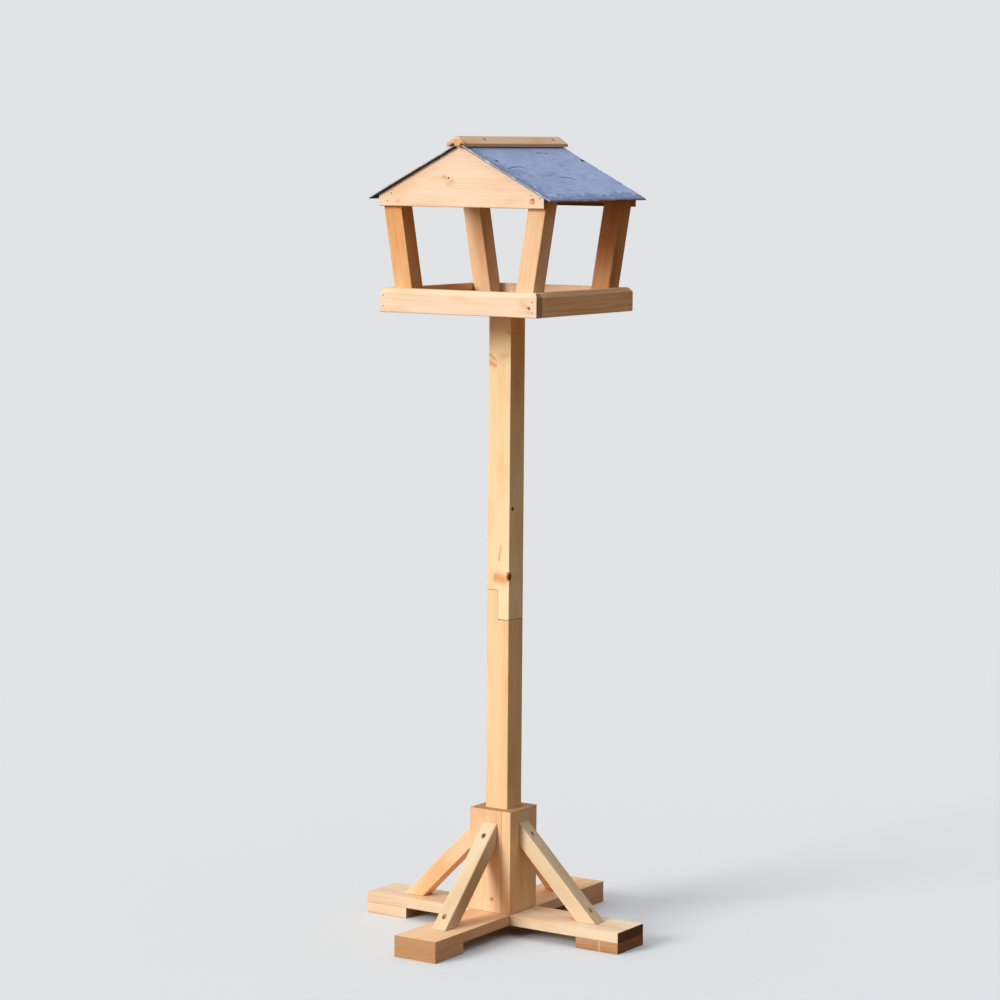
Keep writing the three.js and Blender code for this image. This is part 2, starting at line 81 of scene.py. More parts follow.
Colour = tuple[float, float, float, float]
Triple = tuple[float, float, float]
Pair = tuple[float, float]
Inputs = dict[str | int, Any]
Labels = dict[str, str]


def srgb(red: int, green: int, blue: int) -> Colour:
    """Turns a colour as it looks on a screen into light values.

    Args:
        red: Red, from 0 to 255.
        green: Green, from 0 to 255.
        blue: Blue, from 0 to 255.

    Returns:
        The linear colour, opaque.
    """

    def linear(value: int) -> float:
        """Returns one channel as linear light."""
        share = value / 255
        return share / 12.92 if share <= 0.04045 else ((share + 0.055) / 1.055) ** 2.4

    return (linear(red), linear(green), linear(blue), 1.0)


def is_vector(value: Any) -> bool:
    """Tells whether a wire or a plain value holds a vector."""
    if isinstance(value, Wire):
        return value.socket.type in ("VECTOR", "RGBA")
    return not isinstance(value, (int, float))


class Wire:
    """A value that comes out of a node. Sums on wires are written as plain arithmetic."""

    def __init__(self, graph: Graph, socket: bpy.types.NodeSocket) -> None:
        """Keeps the graph and the socket that the value comes out of."""
        self.graph = graph
        self.socket = socket

    def __add__(self, other: Any) -> Wire:
        """Adds another value."""
        return self.graph.sum("ADD", self, other)

    def __sub__(self, other: Any) -> Wire:
        """Takes another value away."""
        return self.graph.sum("SUBTRACT", self, other)

    def __rsub__(self, other: Any) -> Wire:
        """Takes this value away from a plain one."""
        return self.graph.sum("SUBTRACT", other, self)

    def __truediv__(self, other: Any) -> Wire:
        """Divides by another value."""
        return self.graph.sum("DIVIDE", self, other)

    def __mul__(self, other: Any) -> Wire:
        """Multiplies by another value. A number scales a vector."""
        if is_vector(self) == is_vector(other):
            return self.graph.sum("MULTIPLY", self, other)
        vector, number = (self, other) if is_vector(self) else (other, self)
        return self.graph.out("ShaderNodeVectorMath", {0: vector, "Scale": number}, operation="SCALE")

    def sum(self, operation: str, *others: Any) -> Wire:
        """Returns any other sum on this value."""
        return self.graph.sum(operation, self, *others)

    def least(self, *others: Any) -> Wire:
        """Returns the smallest of this value and others."""
        return functools.reduce(lambda one, other: one.sum("MINIMUM", other), others, self)

    def most(self, other: Any) -> Wire:
        """Returns the larger of this value and another."""
        return self.sum("MAXIMUM", other)

    def clamped(self) -> Wire:
        """Holds this sum between 0 and 1 and returns it."""
        self.socket.node.use_clamp = True
        return self

    def length(self) -> Wire:
        """Returns a vector's length."""
        return self.graph.sum("LENGTH", self, output="Value")

    def dot(self, other: Any) -> Wire:
        """Returns the dot product with another vector."""
        return self.graph.sum("DOT_PRODUCT", self, other, output="Value")

    def step(self, low: Any, high: Any, start: float = 0.0, end: float = 1.0) -> Wire:
        """Returns a smooth step of this value from start at low to end at high."""
        inputs = {"Value": self, "From Min": low, "From Max": high, "To Min": start, "To Max": end}
        return self.graph.out("ShaderNodeMapRange", inputs, "Result", interpolation_type="SMOOTHSTEP")

    def step_mm(self, ends: Pair) -> Wire:
        """Returns a smooth step of this length from 0 to 1 between two lengths in millimetres."""
        return self.step(ends[0] * MM, ends[1] * MM)

    def blend(self, first: Any, second: Any, way: str = "MIX") -> Wire:
        """Returns the first colour with the second mixed in by this share."""
        inputs = {0: self, 6: first, 7: second}
        return self.graph.out("ShaderNodeMix", inputs, 2, data_type="RGBA", blend_type=way)

    def noise(self, scale: float | Triple, detail: float = 2.0, rough: float = 0.5, output: int = 0) -> Wire:
        """Adds noise at this position.

        Args:
            scale: How often the noise repeats in a metre, or how often along each axis.
            detail: How many finer layers it has.
            rough: How strong these are.
            output: 0 for its value or 1 for its colour.

        Returns:
            The noise.
        """
        place = self * scale if is_vector(scale) else self
        inputs = {"Vector": place, "Scale": 1.0 if is_vector(scale) else scale, "Detail": detail}
        return self.graph.out("ShaderNodeTexNoise", inputs | {"Roughness": rough}, output)


class Graph:
    """Adds nodes to one node tree and links them."""

    def __init__(self, tree: bpy.types.NodeTree) -> None:
        """Keeps the tree that the nodes go into."""
        self.tree = tree

    def feed(self, node: bpy.types.Node, inputs: Inputs) -> None:
        """Links wires into a node's inputs, or sets their values, by name or place."""
        for key, value in inputs.items():
            if isinstance(value, Wire):
                self.tree.links.new(value.socket, node.inputs[key])
            else:
                node.inputs[key].default_value = value

    def add(self, kind: str, inputs: Inputs | None = None, **settings: Any) -> bpy.types.Node:
        """Adds one node.

        Args:
            kind: The node's type.
            inputs: Plain values or wires for its inputs, by name or place.
            settings: Properties of the node.

        Returns:
            The new node.
        """
        node = self.tree.nodes.new(kind)
        for key, value in settings.items():
            setattr(node, key, value)
        self.feed(node, inputs or {})
        return node

    def out(self, kind: str, inputs: Inputs | None = None, output: str | int = 0, **settings: Any) -> Wire:
        """Adds one node and returns one of its outputs."""
        return Wire(self, self.add(kind, inputs, **settings).outputs[output])

    def outs(self, kind: str, inputs: Inputs | None = None, **settings: Any) -> dict[str, Wire]:
        """Adds one node and returns its outputs by name."""
        return {socket.name: Wire(self, socket) for socket in self.add(kind, inputs, **settings).outputs}

    def sum(self, operation: str, *values: Any, output: str | int = 0) -> Wire:
        """Adds a sum, on vectors if its first value is one, and returns its result."""
        kind = "ShaderNodeVectorMath" if is_vector(values[0]) else "ShaderNodeMath"
        return self.out(kind, dict(enumerate(values)), output, operation=operation)

    def parts(self, vector: Wire) -> tuple[Wire, ...]:
        """Returns the three numbers of a vector."""
        return tuple(self.outs("ShaderNodeSeparateXYZ", {0: vector}).values())

    def xyz(self, *numbers: Any) -> Wire:
        """Returns the vector of three numbers."""
        return self.out("ShaderNodeCombineXYZ", dict(enumerate(numbers)))

    def position(self) -> Wire:
        """Returns the place on the object."""
        return self.out("ShaderNodeTexCoord", output="Object")

    def on_piece(self, place: Placement) -> Wire:
        """Returns the place in a piece's own axes."""
        inputs = {"Location": place.matrix.translation, "Rotation": place.matrix.to_3x3().to_euler()}
        return self.out("ShaderNodeMapping", {"Vector": self.position()} | inputs, vector_type="TEXTURE")

    def facing(self, axis: Vector) -> Wire:
        """Returns how far the surface faces along an axis, from -1 to 1."""
        return self.out("ShaderNodeTexCoord", output="Normal").dot(axis)

    def attribute(self, name: str) -> Wire:
        """Returns a number that is kept on the mesh."""
        return self.out("ShaderNodeAttribute", output="Fac", attribute_name=name)

    def bump(self, height: Wire, strength: float, depth: float) -> Wire:
        """Returns a normal that follows a height, to a depth in millimetres."""
        return self.out("ShaderNodeBump", {"Height": height, "Strength": strength, "Distance": depth * MM})

    def shape(self, holder: Wire) -> Wire:
        """Returns the shape of an object."""
        return self.out("GeometryNodeObjectInfo", {"Object": holder}, "Geometry")

    def join(self, *shapes: Wire) -> Wire:
        """Returns several shapes as one."""
        node = self.add("GeometryNodeJoinGeometry")
        for shape in shapes:
            self.feed(node, {0: shape})
        return Wire(self, node.outputs[0])

    def cut(self, body: Wire, *tools: Wire) -> Wire:
        """Returns a body with tools cut out of it."""
        node = self.add("GeometryNodeMeshBoolean", {"Mesh 1": body}, operation="DIFFERENCE", solver="EXACT")
        for tool in tools:
            self.feed(node, {"Mesh 2": tool})
        return Wire(self, node.outputs[0])

    def finish(self, shape: Wire, material: Wire) -> None:
        """Ends a Geometry Nodes tree with a real mesh in its material."""
        solid = self.out("GeometryNodeRealizeInstances", {"Geometry": shape})
        dressed_and_highlit = self.out("GeometryNodeSetMaterial", {"Geometry": solid, "Material": material})
        self.add("NodeGroupOutput", {"Geometry": dressed_and_highlit})


def node_group(name: str, kind: str, inputs: Labels, outputs: Labels) -> Callable[[Callable], Callable]:
    """Turns a method that draws nodes into one that returns their group, which is drawn once.

    Args:
        name: The group's name.
        kind: The type of node tree.
        inputs: The names of its inputs by their type, with commas between.
        outputs: The names of its outputs by their type, with commas between.

    Returns:
        The decorator. Its method takes a graph and the wires of the inputs by name.
    """

    def decorate(draw: Callable[[Any, Graph, dict[str, Wire]], None]) -> Callable[[Any], bpy.types.NodeTree]:
        """Returns the method that looks the group up, or draws it the first time."""

        @functools.wraps(draw)
        def group(self: Any) -> bpy.types.NodeTree:
            """Returns the group."""
            if name not in bpy.data.node_groups:
                tree = bpy.data.node_groups.new(name, kind)
                for way, sockets in (("INPUT", inputs), ("OUTPUT", outputs)):
                    for kind_of, labels in sockets.items():
                        for label in labels.split(","):
                            socket = f"NodeSocket{kind_of}"
                            tree.interface.new_socket(name=label, in_out=way, socket_type=socket)
                graph = Graph(tree)
                draw(self, graph, graph.outs("NodeGroupInput"))
            return bpy.data.node_groups[name]

        return group

    return decorate


def new_material(name: str) -> tuple[bpy.types.Material, Graph, bpy.types.Node]:
    """Starts a material.

    Args:
        name: The material's name.

    Returns:
        The material, its graph and its Principled shader.
    """
    material = bpy.data.materials.new(name)
    material.use_nodes = True
    return material, Graph(material.node_tree), material.node_tree.nodes["Principled BSDF"]


def clean_shape(node: str) -> bmesh.types.BMesh:
    """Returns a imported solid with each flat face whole."""
    shape = bmesh.new()
    shape.from_mesh(frame["nodes"][node].data)
    bmesh.ops.remove_doubles(shape, verts=shape.verts, dist=SAME_POINT)
    bmesh.ops.dissolve_limit(shape, angle_limit=SAME_PLANE, verts=shape.verts, edges=shape.edges)
    return shape


class Pattern(Enum):
    """The noises.

    Each has how often it repeats in a metre, along all axes or each, its finer layers, how strong these are,
    and 1 where its colour is used.
    """

    SWAY = ((11.0, 11.0, 2.2), 2.0, 0.5, 1)
    UNEVEN = ((45.0, 45.0, 1.2), 1.0)
    PATCHY = ((30.0, 30.0, 5.0), 1.0)
    FIBRE = ((620.0, 620.0, 9.0), 2.0, 0.6)
    FINE = ((2600.0, 2600.0, 40.0), 1.0)
    BROAD = ((16.0, 16.0, 2.5), 2.0)
    CLOUD = ((34.0, 34.0, 9.0), 2.0)
    TORN = (420.0, 2.0)
    SLATE_CLOUD = (16.0, 4.0, 0.6)
    SLATE_STREAK = ((150.0, 150.0, 60.0), 4.0, 0.65)
    SLATE_GRAIN = (700.0, 2.0, 0.7)
    SLATE_CHIPS = (300.0, 3.0, 0.65)
    SLATE_DRESSING = (34.0, 2.0)
    BITES = (55.0, 4.0, 0.65)
    NICKS = (240.0, 3.0, 0.6)
    WAVES = (14.0, 2.0)
    RIPPLE = (150.0, 3.0, 0.6)
    TARNISH = (700.0, 3.0, 0.6)

    def on(self, place: Wire) -> Wire:
        """Returns this noise at a position."""
        return place.noise(*self.value)


@dataclass(frozen=True)
class Placement:
    """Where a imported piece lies: its own axes, its middle and its size along each axis."""

    matrix: Matrix
    size: Vector

    @classmethod
    def of(cls, node: str, along: Triple | None = None) -> Placement:
        """Reads a piece's placement from its solid.

        Args:
            node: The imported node.
            along: The way that the piece runs, if its longest edge doesn't tell.

        Returns:
            The placement. Z runs along the piece and Y stands on its widest side.
        """
        shape = clean_shape(node)
        sharp = [edge for edge in shape.edges if edge.calc_face_angle(0.0) > SHARP]
        longest = max(sharp, key=lambda edge: round(edge.calc_length(), 6))
        run = Vector(along) if along else longest.verts[1].co - longest.verts[0].co
        run = run.normalized() * (1 if max(run, key=abs) > 0 else -1)
        sides = [face for face in shape.faces if abs(face.normal.dot(run)) < ALONGSIDE]
        ranks = {face: (round(face.calc_area() / MM**2), face.normal.z, -face.normal.y) for face in sides}
        wide = max(sides, key=ranks.get).normal
        wide = (wide - run * wide.dot(run)).normalized() * (-1 if wide.z < DOWNWARD else 1)
        axes = Matrix((wide.cross(run), wide, run)).transposed()
        points = [axes.transposed() @ vert.co for vert in shape.verts]
        low = Vector(min(point[i] for point in points) for i in range(3))
        high = Vector(max(point[i] for point in points) for i in range(3))
        shape.free()
        place = Matrix.Translation(axes @ ((low + high) / 2)) @ axes.to_4x4()
        return cls(place, high - low)

    @property
    def uphill(self) -> int:
        """Returns 1 or -1, for the way that X runs up a slope."""
        return 1 if self.matrix.col[0].z > 0 else -1

    def local(self, point: Triple) -> Vector:
        """Returns a point of the table, in millimetres, in this piece's axes, in metres."""
        return self.matrix.inverted() @ (Vector(point) * MM)

    def turned(self, direction: Triple) -> Vector:
        """Returns a direction on the table in this piece's axes."""
        return self.matrix.to_3x3().inverted() @ Vector(direction)

    def on_slope(self, down: float, along: float) -> Vector:
        """Returns a place on a slope, from millimetres below its upper edge and behind its middle."""
        return Vector((self.uphill * (self.size.x / 2 - down * MM), -along * MM, self.size.y))


@dataclass(frozen=True)
class Knot:
    """A knot or a short mark in a board, in millimetres in the table's frame.

    The core's rim is the knot's ring, and pith is the share of the core that is dark. A tint replaces the
    darkening of the halo.
    """

    at: Triple
    across: Triple
    core: float
    halo: float
    swirl: float
    streak: Triple = NO_WAY
    depth: float = 1.0
    pith: float = 0.45
    tint: Colour | None = None

    @classmethod
    def row(cls, face: float, *marks: tuple) -> tuple[Knot, ...]:
        """Returns knots that show in a face that looks forward.

        Args:
            face: Where the face lies on the table's Y axis.
            marks: For each knot its X and Z, its core, halo and swirl, the X and Z of its streak, its depth,
                and its pith and tint where it has its own.

        Returns:
            The knots.
        """
        return tuple(
            cls((x, face, z), BACKWARD, core, halo, swirl, (run, 0.0, rise), *rest)
            for x, z, core, halo, swirl, run, rise, *rest in marks
        )


class Tone(Enum):
    """The pale and the deep colour of a board's rings."""

    CREAM = (srgb(251, 231, 205), srgb(237, 195, 150))
    BISCUIT = (srgb(247, 226, 194), srgb(226, 186, 142))
    BONE = (srgb(232, 209, 172), srgb(208, 172, 126))
    HUSK = (srgb(228, 209, 174), srgb(203, 172, 130))
    STRAW = (srgb(249, 219, 176), srgb(230, 182, 126))
    LINEN = (srgb(254, 236, 192), srgb(242, 204, 150))
    FLAX = (srgb(250, 220, 172), srgb(233, 188, 132))
    PEACH = (srgb(246, 211, 170), srgb(222, 168, 116))
    SAND = (srgb(250, 211, 167), srgb(228, 178, 130))
    HONEY = (srgb(238, 190, 136), srgb(206, 142, 88))
    AMBER = (srgb(212, 160, 112), srgb(158, 100, 62))
    TAN = (srgb(250, 217, 180), srgb(218, 172, 128))
    UMBER = (srgb(204, 164, 122), srgb(158, 114, 76))


@dataclass(frozen=True)
class PlanedPine:
    """Planed softwood with its rings, fibre and knots in the round, so that end grain and faces agree.

    Fibre, fine, broad and cloud are the strengths of those patterns, and rim is how much of its darkening
    a knot's halo gets. A heart that isn't given is drawn this far aside and below, then the lean of the
    rings and their shift.
    """

    wander: float = 8.0
    roughness: float = 0.62
    sheen: float = 0.06
    relief: float = 0.25
    relief_depth: float = 0.3
    unevenness: float = 0.9
    fibre: float = 0.44
    fine: float = 0.3
    broad: float = 1.2
    cloud: float = 0.4
    deepest: float = 1.15
    rim: float = 0.7
    aside: float = 25.0
    below: Pair = (18.0, 70.0)
    lean: Pair = (0.02, 0.025)
    shift: float = 9.0
    flush: Colour = srgb(254, 224, 190)
    end_grain: Colour = srgb(196, 179, 158)
    # Painted shade: darkens a far end whose depth is past 1, for an end that lies in shade.
    painted_end_shade: Colour = srgb(104, 82, 60)
    knot_rim: Colour = srgb(234, 176, 126)
    knot_ring: Colour = srgb(200, 138, 90)
    knot_core: Colour = srgb(84, 54, 30)

    @node_group(
        "pine figure",
        "ShaderNodeTree",
        {"Vector": "Position,Heart,Lean,Seed", "Float": "Swell,Ring,Contrast,End", "Color": "Pale,Deep"},
        {"Color": "Colour", "Float": "Height"},
    )
    def figure_group(self, graph: Graph, given: dict[str, Wire]) -> None:
        """Draws rings and fibre.

        Args:
            graph: The group's graph.
            given: The wires of the group's inputs.
        """
        place, end = given["Position"], given["End"]
        shifted = place + given["Seed"]
        sway = (Pattern.SWAY.on(shifted) - (0.5, 0.5, 0.5)) * (self.wander * MM * 2)
        heart = given["Heart"] + given["Lean"] * graph.parts(place)[2]
        radius = ((place + sway - heart) * LEVEL).length() + given["Swell"]
        ring = Pattern.UNEVEN.on(shifted) * self.unevenness + radius / given["Ring"]
        phase = ring.sum("FRACT")
        year = graph.out("ShaderNodeTexWhiteNoise", {"W": ring.sum("FLOOR")}, noise_dimensions="1D")
        patchy = Pattern.PATCHY.on(shifted).step(0.3, 0.65, 0.35, 1.15)
        late = phase.step(0.1, 0.8) * phase.step(0.78, 1.0, 1.0, 0.0)
        late = late * (year.step(0.0, 1.0, 0.15, 1.0) * patchy)
        fibre = Pattern.FIBRE.on(shifted)
        cloud = Pattern.CLOUD.on(shifted)
        calm = end.step(0.0, 0.3, 1.0, 0.2)
        total = late * given["Contrast"] + (end * late * 0.25 + 0.22) + (fibre - 0.5) * self.fibre
        total = total + (Pattern.FINE.on(shifted) - 0.5) * self.fine
        total = total + (Pattern.BROAD.on(shifted) - 0.5) * self.broad * calm
        total = total + (cloud - 0.5) * self.cloud * calm
        colour = total.most(0.0).least(self.deepest).blend(given["Pale"], given["Deep"])
        colour = (cloud.step(0.46, 0.72, 0.0, 0.45) * calm).blend(colour, self.flush, "MULTIPLY")
        colour = end.least(1.0).blend(colour, self.end_grain, "MULTIPLY")
        # Painted shade: a depth past 1 darkens an end further, for the far ends that lie in shade.
        colour = (end - 1.0).clamped().blend(colour, self.painted_end_shade, "MULTIPLY")
        graph.add("NodeGroupOutput", {"Colour": colour, "Height": late * 0.5 + fibre * 0.5})

    @node_group(
        "knot field",
        "ShaderNodeTree",
        {"Vector": "Position,At,Streak,Across", "Float": "Ease,Core,Halo,Pith"},
        {"Float": "Swell,Halo,Ring,Core"},
    )
    def knot_group(self, graph: Graph, given: dict[str, Wire]) -> None:
        """Measures the way to a knot.

        Args:
            graph: The group's graph.
            given: The wires of the group's inputs.
        """
        place, across, streak = given["Position"], given["Across"], given["Streak"]
        halo, core, pith = given["Halo"], given["Core"], given["Core"] * given["Pith"]
        away = place - given["At"]
        away = away - across * away.dot(across)
        away = away - streak * (away.dot(streak) * given["Ease"]).clamped()
        near = away.length() * Pattern.TORN.on(place).step(0.2, 0.8, 0.75, 1.25)
        spread = (away * (1.0, 1.0, 0.5)).length() / halo
        parts = {
            "Swell": (spread * spread * -1.0).sum("EXPONENT"),
            "Halo": near.step(core, halo, 1.0, 0.0),
            "Ring": near.step(core * 0.6, core) * near.step(core, core * 1.5, 1.0, 0.0),
            "Core": near.step(pith * 0.6, pith, 1.0, 0.0),
        }
        graph.add("NodeGroupOutput", parts)

    def material(self, board: Board, place: Placement) -> bpy.types.Material:
        """Makes the material of one board.

        Args:
            board: The board's tone, heart and knots.
            place: Where the board lies.

        Returns:
            The material, whose pattern is laid out along the board.
        """
        material, graph, shader = new_material(f"pine_{board.name}")
        draw = random.Random(board.stick or board.name)
        local = graph.on_piece(place)
        swell: Any = 0.0
        fields = []
        for knot in board.knots:
            streak = place.turned(knot.streak) * MM
            inputs = {
                "Position": local, "At": place.local(knot.at), "Across": place.turned(knot.across),
                "Streak": streak, "Ease": 1 / streak.length_squared if streak.length > 0 else 0.0,
                "Core": knot.core * MM, "Halo": knot.halo * MM, "Pith": knot.pith,
            }
            fields.append(graph.outs("ShaderNodeGroup", inputs, node_tree=self.knot_group()))
            swell = fields[-1]["Swell"] * (knot.swirl * MM) + swell
        facing = graph.facing(place.matrix.col[2].xyz)
        far_end_depth_and_shade = board.end_depth if board.far_end_depth_and_shade is None else board.far_end_depth_and_shade
        end = facing.step(0.6, 0.72, 0.0, far_end_depth_and_shade) + facing.step(-0.6, -0.72, 0.0, board.end_depth)
        heart = board.heart or (draw.uniform(-self.aside, self.aside), -draw.uniform(*self.below))
        lean = (*(draw.uniform(-reach, reach) for reach in self.lean), 0.0)
        seed = Vector([draw.uniform(-self.shift, self.shift) for _ in range(3)])
        pale, deep = board.tone.value
        inputs = {
            "Position": local, "Heart": Vector((*heart, 0.0)) * MM, "Lean": lean, "Seed": seed,
            "Swell": swell, "Ring": board.ring * MM, "Contrast": board.contrast, "End": end,
            "Pale": pale, "Deep": deep,
        }
        figure = graph.outs("ShaderNodeGroup", inputs, node_tree=self.figure_group())
        colour = figure["Colour"]
        for knot, part in zip(board.knots, fields):
            rim = (part["Halo"] * (self.rim * knot.depth)).clamped()
            colour = rim.blend(colour, knot.tint or self.knot_rim, "MIX" if knot.tint else "MULTIPLY")
            colour = (part["Ring"] * knot.depth).clamped().blend(colour, self.knot_ring, "MULTIPLY")
            colour = (part["Core"] * knot.depth).clamped().blend(colour, self.knot_core)
        looks = {
            "Base Color": colour,
            "Roughness": figure["Height"] * 0.14 + (self.roughness - 0.07),
            "Normal": graph.bump(figure["Height"], self.relief, self.relief_depth),
            "Specular IOR Level": self.sheen,
        }
        graph.feed(shader, looks)
        return material


@dataclass(frozen=True)
class SlateLook:
    """What sets one slate apart, with its places in millimetres below its upper edge and behind its middle.

    Fresh is how much of its dressed arris is pale, an arris that is partly a painted highlight. The stain
    has a middle and a reach down and along the slope, and each crease is a line of places.
    """

    side: str
    seed: float
    fresh: float
    dressed_and_highlit: Colour
    stain: tuple[float, float, float, float]
    creases: tuple[tuple[Pair, ...], ...]


RIGHT_SLATE = SlateLook(
    "right", 3.0, 0.4, srgb(216, 218, 224), (96.0, -112.0, 13.0, 26.0),
    (
        ((66.0, 51.4), (69.6, 52.6), (75.3, 54.0)),
        ((114.2, -10.1), (115.8, 3.1), (118.2, 15.4), (124.6, 26.4)),
        ((30.2, 33.1), (28.7, 47.4), (32.3, 54.9), (28.7, 69.2)),
        ((84.3, -126.6), (78.5, -102.6), (77.9, -83.9), (82.9, -69.8)),
        ((105.9, -38.1), (111.2, -36.3)),
        ((170.6, -102.6), (173.0, -101.5)),
        ((84.4, -150.0), (88.0, -145.0)),
    ),
)
LEFT_SLATE = SlateLook(
    "left", 4.0, 1.0, srgb(146, 147, 154), (128.0, 24.0, 9.0, 26.0),
    (
        ((52.0, -40.0), (56.0, -22.0), (61.0, -15.0)),
        ((98.0, 60.0), (103.0, 78.0), (101.0, 96.0)),
        ((138.0, -70.0), (134.0, -52.0), (139.0, -31.0), (137.0, -12.0)),
        ((74.0, 118.0), (80.0, 124.0)),
    ),
)


@dataclass(frozen=True)
class RivenSlate:
    """Split blue-grey slate, matt, with a clouded face, a scatter of fine grains and dressed edges."""

    face: Colour = srgb(165, 188, 228)
    dark: Colour = srgb(103, 126, 174)
    light: Colour = srgb(210, 221, 242)
    chipped: Colour = srgb(60, 82, 128)
    # Near black: the side walls of the slate, painted as shade, and the pits among the chips.
    dark_pits_and_edge_shade: Colour = srgb(9, 9, 11)
    # Painted shade: the underside is darkened because it lies in shade.
    painted_under_shade: Colour = srgb(28, 29, 33)
    roughness: float = 0.55
    relief: float = 0.9

    def material(self, look: SlateLook, place: Placement) -> bpy.types.Material:
        """Makes the material of one slate.

        Args:
            look: What sets this slate apart.
            place: Where the slate lies.

        Returns:
            The material, whose pattern is laid out along the slate.
        """
        material, graph, shader = new_material(f"slate_{look.side}")
        local = graph.on_piece(place)
        cloud, streak = Pattern.SLATE_CLOUD.on(local), Pattern.SLATE_STREAK.on(local)
        grain, chips = Pattern.SLATE_GRAIN.on(local), Pattern.SLATE_CHIPS.on(local)
        down, along, tall, broad = look.stain
        middle = Vector((place.on_slope(down, along).x, 0.0, along * MM))
        patch = ((local - middle) * (1 / (tall * MM), 1.0, 1 / (broad * MM))).length()
        patch = (streak - 0.5) * 1.6 + ((cloud - 0.5) * 2.4 + patch)
        amount = cloud.step(0.35, 0.75, 0.0, 0.45) + streak.step(0.42, 0.75, 0.0, 0.5)
        amount = amount + patch.step(1.0, 0.75, 0.0, 0.55)
        colour = (amount * 0.75).blend(self.face, self.dark)
        colour = grain.step(0.5, 0.75, 0.0, 0.4).blend(colour, self.light)
        chipped = chips.step(0.56, 0.64, 0.0, 0.52).blend(self.chipped, self.light)
        chipped = chips.step(0.42, 0.34, 0.0, 0.7).blend(chipped, self.dark_pits_and_edge_shade)
        # Chipped bands and creases take the darker chipped colour.
        colour = (graph.attribute("worn") * 0.92).blend(colour, chipped)
        # The pale dressed arris is partly the slate's own paler edge and partly a painted highlight.
        dressed_and_highlit = Pattern.SLATE_DRESSING.on(local).step(0.36, 0.5, 0.0, 1.0 - look.fresh)
        dressed_and_highlit = dressed_and_highlit.blend(look.dressed_and_highlit, self.chipped)
        facing = graph.facing(place.matrix.col[1].xyz)
        edgeways = facing.sum("ABSOLUTE")
        # Faces tilted from the slab's face, such as the steps of ledges, are darker.
        colour = edgeways.step(0.985, 0.9, 0.0, 0.6).blend(colour, self.dark)
        colour = edgeways.step(0.87, 0.77).blend(colour, dressed_and_highlit)
        # Painted shade: the side walls are near black.
        colour = edgeways.step(0.45, 0.25).blend(colour, self.dark_pits_and_edge_shade)
        colour = graph.attribute("arris").step(0.45, 0.58).blend(colour, dressed_and_highlit)
        # Painted shade on the underside.
        colour = (facing.step(-0.5, -0.8) * 0.85).blend(colour, self.painted_under_shade)
        looks = {
            "Base Color": colour,
            "Roughness": grain.step(0.3, 0.8, self.roughness - 0.08, self.roughness + 0.1),
            "Specular IOR Level": facing.step(0.25, 0.45, 0.05, 0.5),
            "Normal": graph.bump(streak * 0.7 + grain * 0.3, self.relief, self.relief),
        }
        graph.feed(shader, looks)
        return material


@dataclass(frozen=True)
class DulledSteel:
    """Steel of a screw or a nail, dulled by weather."""

    name: str
    bright: Colour
    dull: Colour
    roughness: float
    metal: float

    def material(self) -> bpy.types.Material:
        """Returns the material, made once."""
        if self.name in bpy.data.materials:
            return bpy.data.materials[self.name]
        material, graph, shader = new_material(self.name)
        patch = Pattern.TARNISH.on(graph.position())
        looks = {
            "Base Color": patch.step(0.35, 0.65).blend(self.bright, self.dull),
            "Metallic": self.metal,
            "Roughness": patch.step(0.3, 0.7, self.roughness - 0.1, self.roughness + 0.15),
        }
        graph.feed(shader, looks)
        return material


PINE = PlanedPine()
SLATE = RivenSlate()
SCREW_STEEL = DulledSteel("screw_steel", srgb(82, 64, 44), srgb(34, 26, 18), 0.45, 0.7)
NAIL_STEEL = DulledSteel("nail_steel", srgb(30, 31, 36), srgb(8, 9, 12), 0.8, 0.1)
PIN_STEEL = DulledSteel("pin_steel", srgb(128, 96, 68), srgb(80, 58, 40), 0.65, 0.3)


@dataclass(frozen=True)
class Board:
    """How one timber piece is finished. Pieces of the same stick share the lie of their rings."""

    name: str
    tone: Tone
    along: Triple | None = None
    heart: Pair | None = None
    ring: float = 3.4
    contrast: float = 0.35
    arris: float = 1.2
    end_arris: float = 0.6
    joint_arris: float | None = None
    end_depth: float = 1.0
    # A far end deeper than 1 gets painted shade.
    far_end_depth_and_shade: float | None = None
    knots: tuple[Knot, ...] = ()
    stick: str = ""


def settle(piece: bpy.types.Object) -> bpy.types.Object:
    """Turns a piece and its modifiers into a plain mesh.

    Args:
        piece: The piece with its modifiers.

    Returns:
        The same piece, with no modifiers.
    """
    graph = bpy.context.evaluated_depsgraph_get()
    graph.update()
    evaluated = piece.evaluated_get(graph)
    mesh = bpy.data.meshes.new_from_object(evaluated, preserve_all_data_layers=True, depsgraph=graph)
    mesh.name = piece.name
    piece.modifiers.clear()
    piece.data = mesh
    return piece


def make_object(name: str, data: bpy.types.ID | None) -> bpy.types.Object:
    """Puts an object in the scene at the origin and returns it."""
    piece = bpy.data.objects.new(name, data)
    bpy.context.scene.collection.objects.link(piece)
    return piece


def grow(
    name: str, mesh: bpy.types.Mesh, group: bpy.types.NodeTree, lengths: dict[str, float], others: Inputs
) -> bpy.types.Object:
    """Makes a piece with Geometry Nodes.

    Args:
        name: The piece's name.
        mesh: What the nodes start from.
        group: Their tree.
        lengths: Its inputs in millimetres, by name.
        others: Its other inputs, by name.

    Returns:
        The piece, as a plain mesh.
    """
    values = {label: length * MM for label, length in lengths.items()} | others
    piece = make_object(name, mesh)
    modifier = piece.modifiers.new(group.name, "NODES")
    modifier.node_group = group
    for item in group.interface.items_tree:
        if item.item_type == "SOCKET" and item.in_out == "INPUT" and item.name in values:
            modifier[item.identifier] = values[item.name]
    return settle(piece)


@dataclass(frozen=True)
class NailRow:
    """Small nails in one face of a board: the face's way out, and their places in millimetres."""

    board: str
    normal: Triple
    places: tuple[Triple, ...]


